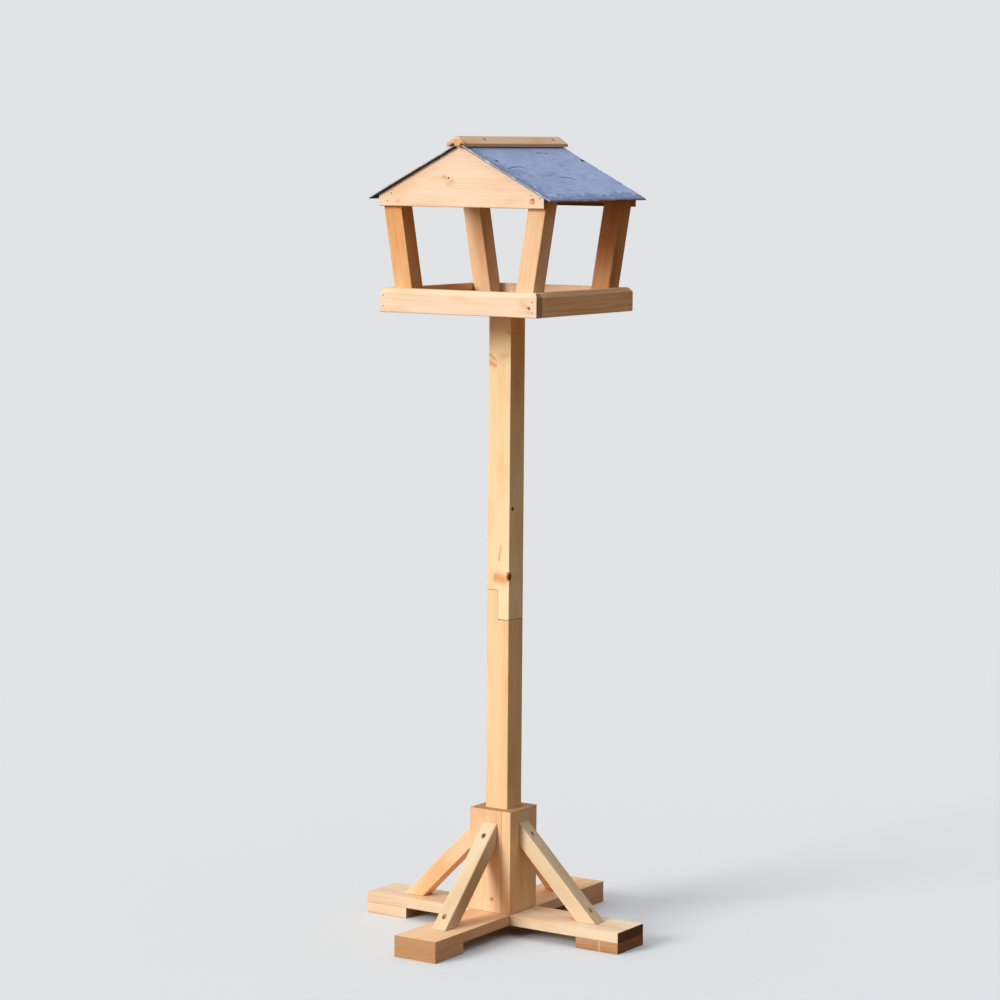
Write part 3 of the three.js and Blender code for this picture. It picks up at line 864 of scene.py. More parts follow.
@dataclass
class SubAssembly:
    """Pieces that are built together and ride on one body."""

    body: str
    joint_depth: float = 8.0
    shortest_arris: float = 8.0
    facets: int = 3
    flat_weight: int = 100
    pieces: list[bpy.types.Object] = field(default_factory=list)

    def boards(self) -> Iterable[Board]:
        """Returns the timber pieces of this sub-assembly."""
        return ()

    def build(self) -> None:
        """Builds every piece of this sub-assembly."""
        for board in self.boards():
            self.add_board(board)

    def keep(self, piece: bpy.types.Object, slot: str, nodes: list[str]) -> None:
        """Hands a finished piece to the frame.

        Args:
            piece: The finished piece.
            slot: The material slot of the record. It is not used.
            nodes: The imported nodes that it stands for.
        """
        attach(piece, self.body)
        if nodes:
            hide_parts(*nodes)
        self.pieces.append(piece)
        LOG.info("%s: %d faces on %s", piece.name, len(piece.data.polygons), self.body)

    def weight(self, edge: bmesh.types.BMEdge, board: Board, place: Placement) -> float:
        """Returns how much an edge is rounded.

        Args:
            edge: A sharp edge of the board.
            board: The board's finish.
            place: Where the board lies.

        Returns:
            The share of the board's arris.
        """
        first, second = (vert.co for vert in edge.verts)
        middle = place.matrix.inverted() @ ((first + second) / 2)
        depth = max(place.size[i] / 2 - abs(middle[i]) for i in (0, 1))
        if abs((second - first).normalized().dot(place.matrix.col[2].xyz)) <= LENGTHWAYS:
            return board.end_arris / board.arris
        if board.joint_arris is not None and depth > self.joint_depth * MM:
            return board.joint_arris / board.arris
        return 1.0

    def add_board(self, board: Board) -> None:
        """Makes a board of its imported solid, with its arrises rounded and its own figure.

        Args:
            board: The board's finish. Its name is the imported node's.
        """
        place = Placement.of(board.name, board.along)
        shape = clean_shape(board.name)
        weight = shape.edges.layers.float.new("bevel_weight_edge")
        for edge in shape.edges:
            sharp = edge.calc_face_angle(0.0) > SHARP
            if sharp and edge.is_convex and edge.calc_length() > self.shortest_arris * MM:
                edge[weight] = self.weight(edge, board, place)
            else:
                edge.smooth = not sharp
        for face in shape.faces:
            face.smooth = True
        piece = make_object(f"{board.name}_timber", bpy.data.meshes.new(board.name))
        shape.to_mesh(piece.data)
        shape.free()
        bevel = piece.modifiers.new("arris", "BEVEL")
        bevel.limit_method = "WEIGHT"
        bevel.width = board.arris * MM
        bevel.segments = self.facets
        flats = piece.modifiers.new("flats", "WEIGHTED_NORMAL")
        flats.mode = "FACE_AREA"
        flats.weight = self.flat_weight
        flats.keep_sharp = True
        settle(piece)
        piece.data.materials.clear()
        piece.data.materials.append(PINE.material(board, place))
        self.keep(piece, SLOTS[board.name], [board.name])


@dataclass
class CrossFoot(SubAssembly):
    """The two halved beams, their foot blocks, the socket and the four braces."""

    body: str = "base"
    brace_arris: float = 2.2
    sinking: float = 2.6
    sinking_rim: float = 1.2
    sinking_pith: float = 1.4

    def boards(self) -> Iterable[Board]:
        """Returns the timber pieces of the cross foot."""
        deep = {"tone": Tone.SAND, "contrast": 0.22, "end_arris": 0.3, "stick": "deep beam"}
        # Its right end is painted much darker than end grain: painted shade.
        yield Board("cross_beam_side", Tone.BISCUIT, heart=(18, -60), end_depth=0.8, far_end_depth_and_shade=1.8)
        yield Board("cross_beam_deep", heart=(-22, 44), end_depth=0.85, **deep)
        sap = Knot.row(-41.0, (218.4, 17.0, 0.1, 3.2, 0.0, 0.4, -16.0, 1.0, 0.45, srgb(236, 196, 150)))
        blocks = (
            ("right", RIGHTWARD, Tone.UMBER, 0.8, sap),
            ("left", RIGHTWARD, Tone.CREAM, 0.5, ()),
            ("back", BACKWARD, Tone.PEACH, 0.5, ()),
        )
        for side, along, tone, depth, knots in blocks:
            name = f"foot_block_{side}"
            yield Board(name, tone, along, contrast=0.5, end_depth=depth, end_arris=0.3, knots=knots)
        yield Board("foot_block_front", along=BACKWARD, heart=(-22, 62), end_depth=0.88, **deep)
        faint = Knot.row(-41.0, (4.1, 59.2, 2.2, 6.0, 5.0, 0.0, 0.0, 0.8))
        tones = {"front": Tone.PEACH, "right": Tone.STRAW, "left": Tone.PEACH, "back": Tone.STRAW}
        for side, tone in tones.items():
            knots = faint if side == "front" else ()
            yield Board(f"socket_board_{side}", tone, knots=knots, contrast=0.22, arris=0.6, end_arris=0.5)
        tones = {"right": Tone.BONE, "left": Tone.PEACH, "front": Tone.HUSK, "back": Tone.HONEY}
        for side, tone in tones.items():
            # Painted shade: each screw's sinking is darkened by a knot-like mark.
            knots = tuple(self.painted_sinking_shade(side))
            yield Board(f"brace_{side}", tone, arris=self.brace_arris, contrast=0.25, knots=knots)

    def painted_sinking_shade(self, side: str) -> Iterable[Knot]:
        """Returns dark marks in the sinkings of the two screws in a brace, painted as the shade in those
        recesses.
        """
        for end in ("top", "foot"):
            screw = Shank.of(f"brace_screw_{side}_{end}")
            at, across, reach = tuple(screw.head / MM), tuple(screw.axis), self.sinking_rim * self.sinking
            yield Knot(at, across, self.sinking, reach, 0.0, pith=self.sinking_pith)


@dataclass
class Post(SubAssembly):
    """The two lapped lengths of the post."""

    body: str = "post_and_table"

    def boards(self) -> Iterable[Board]:
        """Returns the two lengths of the post."""
        marks = Knot.row(
            -22.0,
            (-25.0, 985.0, 0.1, 3.4, 3.0, 17.6, -12.5, 1.1),
            (-22.0, 969.0, 0.1, 7.5, 3.0, 13.0, -6.0, 1.0),
            (4.0, 978.0, 0.1, 12.0, 2.0, 10.0, 3.0, 0.5),
            (-21.5, 977.0, 0.1, 3.2, 0.0, 32.0, -14.0, 1.2, 0.45, srgb(250, 212, 180)),
            (17.0, 1021.0, 0.1, 4.5, 0.0, 2.0, -4.0, 0.9),
            (-1.5, 606.6, 0.1, 16.0, 6.0, 12.0, -2.6, 1.15),
            (-5.5, 610.0, 0.1, 4.5, 0.0, 0.8, -7.5, 0.45),
        )
        corner = Knot((22.4, -21.5, 610.6), NO_WAY, 5.0, 7.5, 6.0, (0.0, 0.0, -2.5), 0.95, 1.0)
        crack = Knot.row(-22.0, (1.5, 636.0, 0.1, 3.0, 4.0, 3.5, 24.0, 0.8))
        spot = Knot((22.0, -12.4, 724.0), RIGHTWARD, 2.8, 5.0, 2.0, pith=1.0)
        finish = {"contrast": 0.24, "arris": 1.5, "end_arris": 1.2, "joint_arris": 0.12, "stick": "post"}
        yield Board("post_upper", Tone.LINEN, knots=(*marks, corner, *crack, spot), **finish)
        yield Board("post_lower", Tone.FLAX, **finish)


@dataclass
class Tray(SubAssembly):
    """The rim, the floor, its bearers and the four uprights."""

    body: str = "post_and_table"
    nail_margin: float = 16.0

    def boards(self) -> Iterable[Board]:
        """Returns the timber pieces of the tray."""
        live = Knot.row(
            -150.0,
            (138.6, 1069.2, 1.6, 4.0, 7.0, 1.8, -1.0, 0.85, 1.0),
            (134.0, 1070.8, 0.1, 7.5, 0.0, -8.0, 4.0, 0.5),
            (140.5, 1061.5, 0.1, 5.0, 0.0, -7.0, 1.0, 0.4),
        )
        # Its right end gets a little painted shade beyond its end grain.
        yield Board("tray_board_front", Tone.CREAM, knots=live, contrast=0.26, arris=1.6, far_end_depth_and_shade=1.1)
        yield Board("tray_board_right", Tone.STRAW, heart=(6, -26), ring=2.4, contrast=0.85)
        yield Board("tray_board_left", Tone.PEACH)
        yield Board("tray_board_back", Tone.CREAM)
        for name in ("floor_front", "floor_middle", "floor_back", "bearer_right", "bearer_left"):
            yield Board(f"tray_{name}", Tone.PEACH)
        tones = {"front_left": Tone.HONEY, "front_right": Tone.PEACH, "back_left": Tone.PEACH}
        for place, tone in tones.items():
            yield Board(f"upright_{place}", tone, contrast=0.2)
        # A deeper tone, partly the board's own and partly painted shade from the roof over this upright.
        yield Board("upright_back_right", Tone.AMBER, ring=2.2, contrast=0.6)

    def nails(self) -> Iterable[NailRow]:
        """Returns the nails of the rim and of the floor boards."""
        front = ((-148, 0, 1080.1), (-148, 0, 1063.5), (145.5, 0, 1078.6), (145.7, 0, 1061))
        yield NailRow("tray_board_front", (0, -1, 0), front)
        right = ((0, 114.7, 1080.7), (0, -118.9, 1081.6), (0, 140.6, 1080.3), (0, 141, 1063.5))
        yield NailRow("tray_board_right", (1, 0, 0), right)
        left = ((0, 116, 1081), (0, -117, 1080.4), (0, 141, 1079.8), (0, 140.4, 1062.6))
        yield NailRow("tray_board_left", (-1, 0, 0), left)
        bearers = [sum(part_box(f"tray_bearer_{side}"), Vector()).x / 2 / MM for side in ("right", "left")]
        for place in ("front", "middle", "back"):
            low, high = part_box(f"tray_floor_{place}")
            rows = (low.y / MM + self.nail_margin, high.y / MM - self.nail_margin)
            yield NailRow(f"tray_floor_{place}", (0, 0, 1), tuple((x, y, 0) for x in bearers for y in rows))


@dataclass
class Roof(SubAssembly):
    """The gables, the rail and rafters under the slates, the slates and the ridge cap.

    The chips reach in from the front, the back, the eave and the ridge edge by their shares of the chips'
    reach. The bedding is where the face starts and ends to come up flat under the ridge cap. Each ledge of
    the riven face has a shift, a scale and a level, and the depths are shares of the relief. The skin is the
    height at which the slab starts and ends to move. Bites and nicks have how far they go in and how wide a
    band they are in. Each hole has its radii.
    """

    body: str = "post_and_table"
    grid: float = 1.25
    relief: float = 1.0
    chip: float = 0.8
    chip_reach: float = 10.0
    chip_shares: tuple[float, float, float, float] = (2.6, 0.5, 2.1, 0.3)
    bedding: Pair = (8.0, 36.0)
    rim_width: float = 1.45
    rim_depth: float = 1.9
    deepest: float = 3.1
    stretch: Triple = (1.0, 0.45, 1.0)
    wave_stretch: Triple = (1.0, 0.6, 1.0)
    ledges: tuple[Triple, ...] = ((1.7, 17.0, 0.53), (5.1, 26.0, 0.60), (9.3, 38.0, 0.62))
    ledge_rise: float = 0.004
    ledge_depth: float = 0.4
    wave_depth: float = 0.4
    ripple_depth: float = 0.3
    crease_depth: float = 0.9
    crease_reach: Pair = (2.2, 0.4)
    skin: Pair = (0.4, 0.8)
    bite: Pair = (0.6, 3.0)
    nick: Pair = (0.15, 1.2)
    arris: Pair = (0.3, 0.1)
    hole: Pair = (1.6, 1.6)
    spall: Pair = (4.1, 4.7)
    spall_floor: float = 1.8
    spall_height: float = 8.0
    hole_facets: int = 20
    fold: float = 40.0

    def boards(self) -> Iterable[Board]:
        """Returns the timber pieces of the roof."""
        knots = Knot.row(
            -143.0,
            (-16.0, 1269.4, 0.1, 9.5, 0.0, -6.0, -2.0, 0.6),
            (-33.0, 1277.0, 0.1, 4.8, 0.0, 6.5, -2.2, 0.9),
            (-22.9, 1275.2, 1.6, 5.2, 9.0, 0.0, 0.0, 1.0, 0.95, srgb(255, 232, 190)),
            (-122.9, 1236.4, 1.2, 7.0, 5.0, 0.0, 0.0, 0.4),
            (139.8, 1239.4, 3.0, 6.5, 7.0, 0.0, 0.0, 0.8, 0.1),
            (140.8, 1242.9, 1.3, 2.8, 2.0, 0.0, 0.0, 0.85, 0.9),
        )
        yield Board("gable_front", Tone.CREAM, knots=knots, contrast=0.3, arris=1.8)
        # Painted shade: a dark band along the foot of the back gable's inner face, under the roof.
        shade = srgb(84, 50, 28)
        painted_eave_shade = Knot((-150.0, 132.0, 1228.0), NO_WAY, 0.1, 15.0, 0.0, (300.0, 0.0, 0.0), 1.4, tint=shade)
        yield Board("gable_back", Tone.PEACH, contrast=0.25, arris=1.8, knots=(painted_eave_shade,))
        yield Board("ridge_rail", Tone.PEACH)
        for corner in ("front_right", "front_left", "back_right", "back_left"):
            yield Board(f"rafter_{corner}", Tone.PEACH)
        yield Board("ridge_cap", Tone.TAN, arris=0.7, end_arris=0.5, contrast=0.35, end_depth=0.6)

    def nails(self) -> Iterable[NailRow]:
        """Returns the nails that hold the gables to the uprights."""
        front = ((-137.1, 0, 1249.5), (-144.7, 0, 1236), (137, 0, 1248.6), (154.5, 0, 1244.6))
        yield NailRow("gable_front", (0, -1, 0), front)
        back = ((-138, 0, 1248.4), (-145.5, 0, 1237), (139, 0, 1249), (150.5, 0, 1241.6))
        yield NailRow("gable_back", (0, 1, 0), back)

    def build(self) -> None:
        """Builds the timber and the slates."""
        super().build()
        for look in (RIGHT_SLATE, LEFT_SLATE):
            self.add_slate(look)

    @node_group(
        "riven slate",
        "GeometryNodeTree",
        {
            "Float": "Width,Thickness,Length,Relief,Chip,Chip Reach,Rim Width,Rim Depth,Deepest,Uphill,Seed",
            "Int": "Columns,Rows",
            "Object": "Holes,Creases,Place",
            "Material": "Material",
        },
        {"Geometry": "Geometry"},
    )
    def slate_group(self, graph: Graph, given: dict[str, Wire]) -> None:
        """Splits, chips and drills a slab about the origin and then puts it in place.

        Args:
            graph: The group's graph.
            given: The wires of the group's inputs.
        """
        place = graph.out("GeometryNodeInputPosition")
        x, y, z = graph.parts(place)
        flat = place * LEVEL + graph.xyz(0.0, 0.0, given["Seed"])
        rise = x * given["Uphill"]
        half_length, half_width = given["Length"] * 0.5, given["Width"] * 0.5
        ways = (half_length - y, half_length + y, half_width + rise, half_width - rise)
        edge = ways[0].least(*ways[1:])
        shares = [way / share for way, share in zip(ways, self.chip_shares)]
        bedded = ways[3].step_mm(self.bedding)
        bites, nicks = Pattern.BITES.on(flat), Pattern.NICKS.on(flat)
        reach = given["Chip Reach"] * bites.step(0.3, 0.7, 0.45, 1.4)
        near = (1.0 - shares[0].least(*shares[1:]) / reach).clamped()
        flaked = near.step(0.0, 0.15) * nicks.step(0.25, 0.6, 0.5, 1.0)
        rim = (1.0 - edge / given["Rim Width"]).clamped() * nicks.step(0.2, 0.7, 0.6, 1.0)
        lines = {0: graph.shape(given["Creases"])}
        distance = graph.out("GeometryNodeProximity", lines, "Distance", target_element="EDGES")
        crease = (distance * nicks.step(0.3, 0.7, 0.7, 1.5)).step_mm(self.crease_reach)
        depth = Pattern.WAVES.on(flat * self.wave_stretch) * self.wave_depth
        split = flat * self.stretch
        for shift, scale, level in self.ledges:
            ledge = (split + (shift, 0.0, 0.0)).noise(scale, 3.0, 0.6)
            depth = ledge.step(level - self.ledge_rise, level + self.ledge_rise) * self.ledge_depth + depth
        depth = Pattern.RIPPLE.on(split) * self.ripple_depth + depth
        depth = (crease * self.crease_depth + depth) * given["Relief"] * bedded
        depth = rim * given["Rim Depth"] + (flaked * given["Chip"] + depth)
        top = z.step_mm(self.skin)
        drop = depth.least(given["Deepest"]) * top * -1.0
        bite, bite_band = self.bite
        nick, nick_band = self.nick
        inward = bites.step(0.4, 0.8, 0.0, bite * MM) * edge.step_mm((bite_band, 0.0))
        inward = edge.step_mm((nick_band, 0.0)) * (nicks * (nick * MM)) + inward
        toward = (place * (-1.0, -1.0, 0.0)).sum("NORMALIZE")
        shift = toward * (inward * top) + graph.xyz(0.0, 0.0, drop)
        worn = (flaked * (near * 0.7 + 0.3)).most(crease * 0.9) * top
        arris = edge.step_mm(self.arris) * top
        slab = self.slab(graph, given)
        for label, value in (("worn", worn), ("arris", arris)):
            inputs = {"Geometry": slab, "Name": label, "Value": value}
            slab = graph.out("GeometryNodeStoreNamedAttribute", inputs, data_type="FLOAT", domain="POINT")
        rough = graph.out("GeometryNodeSetPosition", {"Geometry": slab, "Offset": shift})
        drilled = graph.cut(rough, graph.shape(given["Holes"]))
        smooth = graph.out("GeometryNodeSetShadeSmooth", {"Geometry": drilled, "Shade Smooth": True})
        angle = graph.out("GeometryNodeInputMeshEdgeAngle", output="Unsigned Angle")
        inputs = {0: angle, 1: math.radians(self.fold)}
        folded = graph.out("FunctionNodeCompare", inputs, operation="GREATER_THAN")
        inputs = {"Geometry": smooth, "Selection": folded, "Shade Smooth": False}
        crisp = graph.out("GeometryNodeSetShadeSmooth", inputs, domain="EDGE")
        target = graph.outs("GeometryNodeObjectInfo", {"Object": given["Place"]})
        inputs = {"Geometry": crisp, "Translation": target["Location"], "Rotation": target["Rotation"]}
        graph.finish(graph.out("GeometryNodeTransform", inputs), given["Material"])

    def slab(self, graph: Graph, given: dict[str, Wire]) -> Wire:
        """Adds a flat slab of fine squares about the origin.

        Args:
            graph: The graph that it goes into.
            given: The wires that hold its sizes.

        Returns:
            The slab.
        """
        sides = {"Size X": given["Width"], "Size Y": given["Length"]}
        counts = {"Vertices X": given["Columns"], "Vertices Y": given["Rows"]}
        grid = graph.out("GeometryNodeMeshGrid", sides | counts, "Mesh")
        rise = {"Offset": (0.0, 0.0, 1.0), "Offset Scale": given["Thickness"], "Individual": False}
        walls = graph.out("GeometryNodeExtrudeMesh", {"Mesh": grid} | rise, "Mesh", mode="FACES")
        joined = graph.join(graph.out("GeometryNodeFlipFaces", {"Mesh": grid}), walls)
        return graph.out("GeometryNodeMergeByDistance", {"Geometry": joined, "Distance": 2 * SAME_POINT})

    def cutter(self, side: str, lying: Matrix, thickness: float) -> bpy.types.Object:
        """Makes the tool that drills a slate for its nails, in the slab's axes.

        Args:
            side: Right or left.
            lying: Where the slab lies.
            thickness: The slab's thickness in metres.

        Returns:
            The tool, which isn't part of the table.
        """
        tall = self.spall_height * MM
        bores = (
            (thickness / 2, 3 * thickness, self.hole),
            (tall / 2 + self.spall_floor * MM, tall, self.spall),
        )
        holes = bmesh.new()
        for end in ("near", "far"):
            spot = lying.inverted() @ (sum(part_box(f"slate_nail_{side}_{end}"), Vector()) / 2)
            for level, depth, (low, high) in bores:
                spot.z = level
                bmesh.ops.create_cone(
                    holes, cap_ends=True, segments=self.hole_facets, radius1=low * MM, radius2=high * MM,
                    depth=depth, matrix=Matrix.Translation(spot),
                )
        tool = make_object(f"slate_{side}_cutter", bpy.data.meshes.new(f"slate_{side}_cutter"))
        holes.to_mesh(tool.data)
        holes.free()
        return tool

    def add_slate(self, look: SlateLook) -> None:
        """Makes one slate, riven on its face, chipped round its edges and holed for its nails.

        Args:
            look: What sets this slate apart.
        """
        node = f"slate_{look.side}"
        place = Placement.of(node)
        width, thickness, length = place.size
        lying = place.matrix @ Matrix.Rotation(math.radians(-90), 4, "X")
        lying = lying @ Matrix.Translation((0, 0, -thickness / 2))
        points: list[Vector] = []
        edges: list[tuple[int, int]] = []
        for line in look.creases:
            edges += [(len(points) + i, len(points) + i + 1) for i in range(len(line) - 1)]
            points += [place.on_slope(*point) for point in line]
        creases = make_object(f"{node}_creases", bpy.data.meshes.new(f"{node}_creases"))
        creases.data.from_pydata(points, edges, [])
        holes = self.cutter(look.side, lying, thickness)
        marker = make_object(f"{node}_marker", None)
        marker.matrix_world = lying
        bpy.context.view_layer.update()
        lengths = {
            "Relief": self.relief, "Chip": self.chip, "Chip Reach": self.chip_reach,
            "Rim Width": self.rim_width, "Rim Depth": self.rim_depth, "Deepest": self.deepest,
        }
        others = {
            "Width": width, "Thickness": thickness, "Length": length, "Uphill": float(place.uphill),
            "Columns": int(width / (self.grid * MM)), "Rows": int(length / (self.grid * MM)),
            "Seed": look.seed,
            "Holes": holes, "Creases": creases, "Place": marker, "Material": SLATE.material(look, place),
        }
        piece = grow(f"{node}_stone", bpy.data.meshes.new(node), self.slate_group(), lengths, others)
        for helper in (holes, creases, marker):
            bpy.data.objects.remove(helper)
        self.keep(piece, SLOTS[node], [node])


class Head(Enum):
    """The kinds of fastener: the head's radius and height, its slots, the shank's radius, and the steel."""

    COUNTERSUNK = (3.5, 2.4, 4.2, 1.0, 1.3, SCREW_STEEL)
    SLATE_NAIL = (3.5, 1.0, 0.0, 0.0, 1.3, NAIL_STEEL)
    PIN = (1.1, 1.4, 0.0, 0.0, 0.7, PIN_STEEL)


@dataclass(frozen=True)
class Shank:
    """Where a screw or a nail lies: the middle of its head, the way out along it, and its length."""

    head: Vector
    axis: Vector
    length: float

    @classmethod
    def of(cls, node: str) -> Shank:
        """Reads the place of a packed screw or nail from its solid."""
        corners = {tuple(round(v, 6) for v in vert.co) for vert in frame["nodes"][node].data.vertices}
        points = [Vector(corner) for corner in sorted(corners)]
        middle = sum(points, Vector()) / len(points)
        tip = max(points, key=lambda point: (point - middle).length)
        reach = max((point - tip).length for point in points)
        rim = [point for point in points if (point - tip).length > FAR_END * reach]
        head = sum(rim, Vector()) / len(rim)
        return cls(head, (head - tip).normalized(), (head - tip).length)


@dataclass
class Fasteners(SubAssembly):
    """The screws and nails of one body, each kind as one piece."""

    nails: tuple[NailRow, ...] = ()
    proud: float = 0.1
    pin_length: float = 9.0
    head_facets: int = 24
    shank_facets: int = 12
    tip: float = 0.2

    def build(self) -> None:
        """Builds the fasteners that this body has."""
        nodes = frame["record"]["behaviour"]["bodies"][self.body]
        for head, slot in ((Head.COUNTERSUNK, "screw_steel"), (Head.SLATE_NAIL, "nail_steel")):
            named = [node for node in nodes if SLOTS[node] == slot]
            self.add_group(head, [Shank.of(node) for node in named], slot, named)
        self.add_group(Head.PIN, list(self.pins()), "nail_steel", [])

    def pins(self) -> Iterable[Shank]:
        """Returns the small nails of the rim boards, the gables and the floor."""
        for row in self.nails:
            low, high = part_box(row.board)
            normal = Vector(row.normal)
            axis = max(range(3), key=lambda i: abs(normal[i]))
            level = high[axis] if normal[axis] > 0 else low[axis]
            for place in row.places:
                at = Vector(place) * MM
                at[axis] = level + normal[axis] * self.proud * MM
                yield Shank(at, normal, self.pin_length * MM)

    @node_group(
        "headed shanks",
        "GeometryNodeTree",
        {
            "Geometry": "Geometry",
            "Float": "Head Radius,Head Height,Shank Radius,Slot Length,Slot Width",
            "Bool": "Crossed",
            "Material": "Material",
        },
        {"Geometry": "Geometry"},
    )
    def head_group(self, graph: Graph, given: dict[str, Wire]) -> None:
        """Puts a headed shank on each point.

        Args:
            graph: The group's graph.
            given: The wires of the group's inputs.
        """

        def hung(facets: int, top: Wire, bottom: Wire, depth: Any) -> Wire:
            """Returns a cone that hangs from the origin."""
            inputs = {"Vertices": facets, "Radius Top": top, "Radius Bottom": bottom, "Depth": depth}
            cone = graph.out("GeometryNodeMeshCone", inputs, "Mesh")
            inputs = {"Geometry": cone, "Translation": graph.xyz(0.0, 0.0, depth * -1.0)}
            return graph.out("GeometryNodeTransform", inputs)

        height, thin = given["Head Height"], given["Shank Radius"]
        long, wide = given["Slot Length"], given["Slot Width"]
        head = hung(self.head_facets, given["Head Radius"], thin, height)
        sizes = (graph.xyz(long, wide, height), graph.xyz(wide, long, height))
        boxes = [graph.out("GeometryNodeMeshCube", {"Size": size}, "Mesh") for size in sizes]
        cross = graph.cut(head, *boxes)
        inputs = {"Switch": given["Crossed"], "False": head, "True": cross}
        shaped = graph.out("GeometryNodeSwitch", inputs, input_type="GEOMETRY")
        shank = hung(self.shank_facets, thin, thin * self.tip, 1.0)
        axis, turn, length = (
            graph.out("GeometryNodeInputNamedAttribute", {"Name": name}, data_type=kind)
            for name, kind in (("axis", "FLOAT_VECTOR"), ("turn", "FLOAT"), ("length", "FLOAT"))
        )
        upright = graph.out("FunctionNodeAlignRotationToVector", {"Vector": axis}, axis="Z")
        spin = graph.out("FunctionNodeAxisAngleToRotation", {"Axis": (0.0, 0.0, 1.0), "Angle": turn})
        inputs = {"Rotation": upright, "Rotate By": spin}
        way = graph.out("FunctionNodeRotateRotation", inputs, rotation_space="LOCAL")
        copies = []
        for shape, scale in ((shank, graph.xyz(1.0, 1.0, length)), (shaped, (1.0, 1.0, 1.0))):
            inputs = {"Points": given["Geometry"], "Instance": shape, "Rotation": way, "Scale": scale}
            copies.append(graph.out("GeometryNodeInstanceOnPoints", inputs))
        graph.finish(graph.join(*copies), given["Material"])

    def add_group(self, head: Head, shanks: list[Shank], slot: str, nodes: list[str]) -> None:
        """Makes all the fasteners of one kind as one piece, where there are any.

        Args:
            head: The kind of head.
            shanks: Where they lie.
            slot: The record's material slot.
            nodes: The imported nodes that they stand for.
        """
        if not shanks:
            return
        name = f"{self.body}_{head.name.lower()}_heads"
        mesh = bpy.data.meshes.new(name)
        mesh.from_pydata([shank.head for shank in shanks], [], [])
        draw = random.Random(name)
        marks = (
            ("axis", "FLOAT_VECTOR", "vector", [value for shank in shanks for value in shank.axis]),
            ("length", "FLOAT", "value", [shank.length for shank in shanks]),
            ("turn", "FLOAT", "value", [draw.uniform(0.0, math.pi) for _ in shanks]),
        )
        for label, kind, key, values in marks:
            mesh.attributes.new(label, kind, "POINT").data.foreach_set(key, values)
        radius, height, slot_length, slot_width, thin, steel = head.value
        lengths = {
            "Head Radius": radius, "Head Height": height, "Shank Radius": thin, "Slot Length": slot_length,
            "Slot Width": slot_width,
        }
        others = {"Crossed": slot_length > 0, "Material": steel.material()}
        self.keep(grow(name, mesh, self.head_group(), lengths, others), slot, nodes)


@dataclass(frozen=True)
class Viewpoint:
    """Where the camera stands and how it looks."""

    distance: float = 5283.8
    height: float = 1338.5
    azimuth: float = 33.234
    yaw: float = 0.107
    pitch: float = 6.508
    roll: float = 0.433
    lens: float = 113.83
    sensor: float = 36.0

    def place(self) -> None:
        """Makes the camera."""
        stand = math.radians(self.azimuth)
        heading = math.radians(self.azimuth + self.yaw)
        down, tilt = math.radians(self.pitch), math.radians(self.roll)
        ahead = (-math.sin(heading) * math.cos(down), math.cos(heading) * math.cos(down), -math.sin(down))
        forward = Vector(ahead)
        level = Vector((math.cos(heading), math.sin(heading), 0.0))
        upright = level.cross(forward)
        right = level * math.cos(tilt) + upright * math.sin(tilt)
        up = upright * math.cos(tilt) - level * math.sin(tilt)
        camera = make_object("camera", bpy.data.cameras.new("camera"))
        camera.data.lens = self.lens
        camera.data.sensor_width = self.sensor
        eye = Vector((self.distance * math.sin(stand), -self.distance * math.cos(stand), self.height)) * MM
        camera.matrix_world = Matrix.Translation(eye) @ Matrix((right, up, -forward)).transposed().to_4x4()
        bpy.context.scene.camera = camera


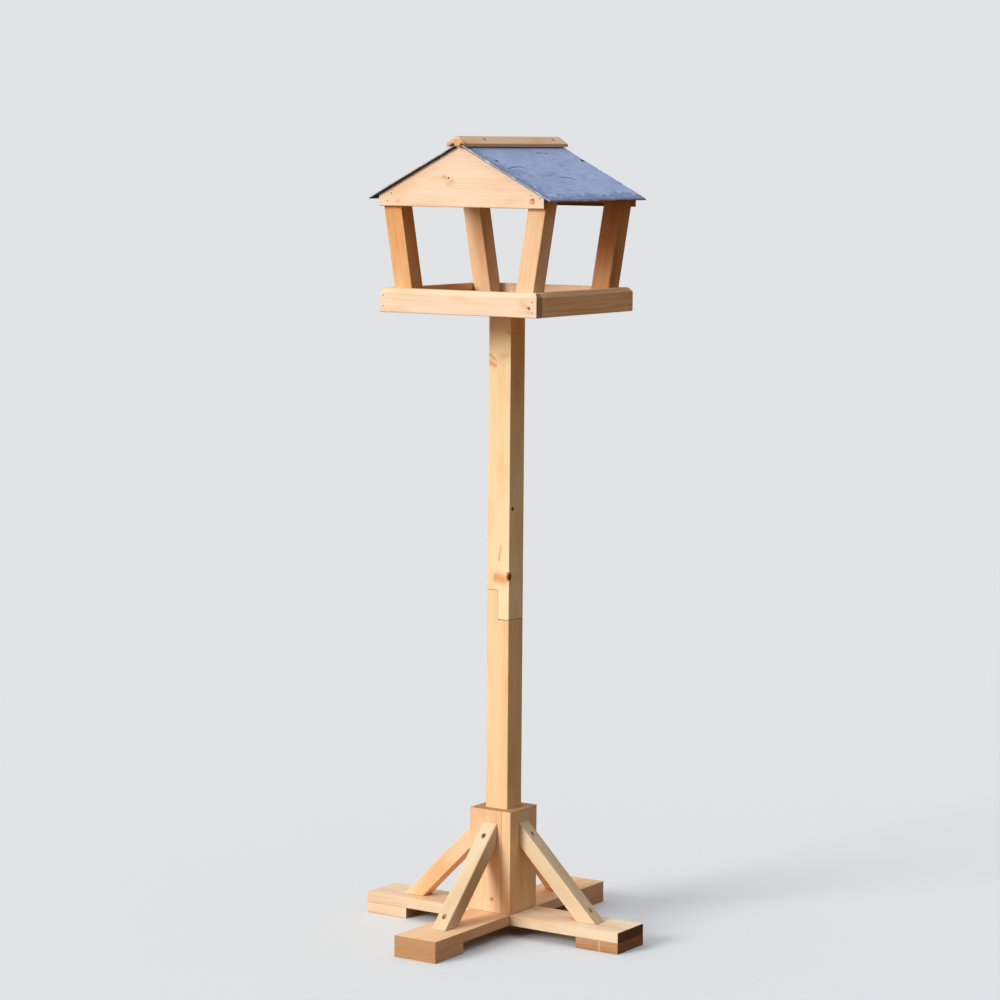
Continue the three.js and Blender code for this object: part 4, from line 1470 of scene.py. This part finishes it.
@dataclass(frozen=True)
class Studio:
    """The pale floor, the lamps and the world round the table.

    Each lamp has a strength in watts per square metre, the way that its light travels, and how wide it
    looks from the table in degrees. The fade is where the floor starts and ends to turn into the backdrop.
    """

    pale: Colour = srgb(225, 227, 229)
    floor: Colour = srgb(229, 234, 234)
    bounce: Colour = srgb(132, 98, 66)
    key: tuple[float, Triple, float] = (2.35, (1.0, 2.6, -1.2), 24.0)
    fill: tuple[float, Triple, float] = (0.62, (0.3, 1.0, 0.0), 34.0)
    sky_low: float = 0.06
    sky_left: float = 0.5
    sky_top: float = 1.3
    left_focus: float = 2.0
    top_focus: float = 2.5
    sky_tint: Colour = srgb(255, 210, 164)
    top_tint: Colour = srgb(226, 238, 255)
    floor_radius: float = 30.0
    floor_facets: int = 96
    floor_rough: float = 0.9
    floor_sheen: float = 0.1
    fade: Pair = (1.6, 5.0)

    def build(self) -> None:
        """Makes the floor, the lamps and the world."""
        self.make_floor()
        for name, (strength, travel, spread) in {"key": self.key, "fill": self.fill}.items():
            lamp = bpy.data.lights.new(name, "SUN")
            lamp.energy = strength
            lamp.angle = math.radians(spread)
            make_object(name, lamp).rotation_euler = Vector(travel).to_track_quat("-Z", "Y").to_euler()
        self.make_world()

    def make_world(self) -> None:
        """Makes a sky that is brightest above and to the left. The camera sees the pale backdrop."""
        world = bpy.data.worlds.new("studio")
        world.use_nodes = True
        bpy.context.scene.world = world
        world.node_tree.nodes.clear()
        graph = Graph(world.node_tree)
        path = graph.outs("ShaderNodeLightPath")
        x, _, z = graph.parts(graph.position())
        left = (x * -0.5 + 0.5).sum("POWER", self.left_focus)
        above = z.most(0.0).sum("POWER", self.top_focus)
        side = (left * self.sky_left + self.sky_low) * self.sky_tint[:3]
        light = side + above * self.sky_top * self.top_tint[:3]
        sky = graph.out("ShaderNodeBackground", {"Color": light, "Strength": 1.0})
        backdrop = graph.out("ShaderNodeBackground", {"Color": self.pale, "Strength": 1.0})
        seen = path["Is Camera Ray"].most(path["Is Transmission Ray"]).most(path["Is Glossy Ray"])
        mixed = graph.out("ShaderNodeMixShader", {0: seen, 1: sky, 2: backdrop})
        graph.add("ShaderNodeOutputWorld", {"Surface": mixed})

    def make_floor(self) -> None:
        """Makes the floor, which takes the table's shadow near it and fades into the backdrop."""
        shape = bmesh.new()
        bmesh.ops.create_circle(shape, cap_ends=True, segments=self.floor_facets, radius=self.floor_radius)
        floor = make_object("floor", bpy.data.meshes.new("floor"))
        shape.to_mesh(floor.data)
        shape.free()
        material, graph, shader = new_material("floor")
        seen = graph.out("ShaderNodeLightPath", output="Is Camera Ray")
        looks = {
            "Base Color": seen.blend(self.bounce, self.floor),
            "Roughness": self.floor_rough,
            "Specular IOR Level": self.floor_sheen,
        }
        graph.feed(shader, looks)
        glow = graph.out("ShaderNodeEmission", {"Color": self.pale, "Strength": 1.0})
        far = graph.position().length().step(*self.fade) * seen
        mixed = graph.out("ShaderNodeMixShader", {0: far, 1: Wire(graph, shader.outputs[0]), 2: glow})
        graph.feed(material.node_tree.nodes["Material Output"], {"Surface": mixed})
        floor.data.materials.append(material)


def main() -> None:
    """Builds the table, the studio and the camera, and reports each piece."""
    logging.basicConfig(level=logging.INFO, format="%(message)s")
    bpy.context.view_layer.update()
    bpy.context.scene.view_settings.view_transform = "Standard"
    Viewpoint().place()
    Studio().build()
    foot, post, tray, roof = CrossFoot(), Post(), Tray(), Roof()
    nails = (*tray.nails(), *roof.nails())
    for part in (foot, post, tray, roof, Fasteners("base"), Fasteners("post_and_table", nails=nails)):
        part.build()
        LOG.info("%s: %d pieces", type(part).__name__, len(part.pieces))


if __name__ == "__main__":
    main()
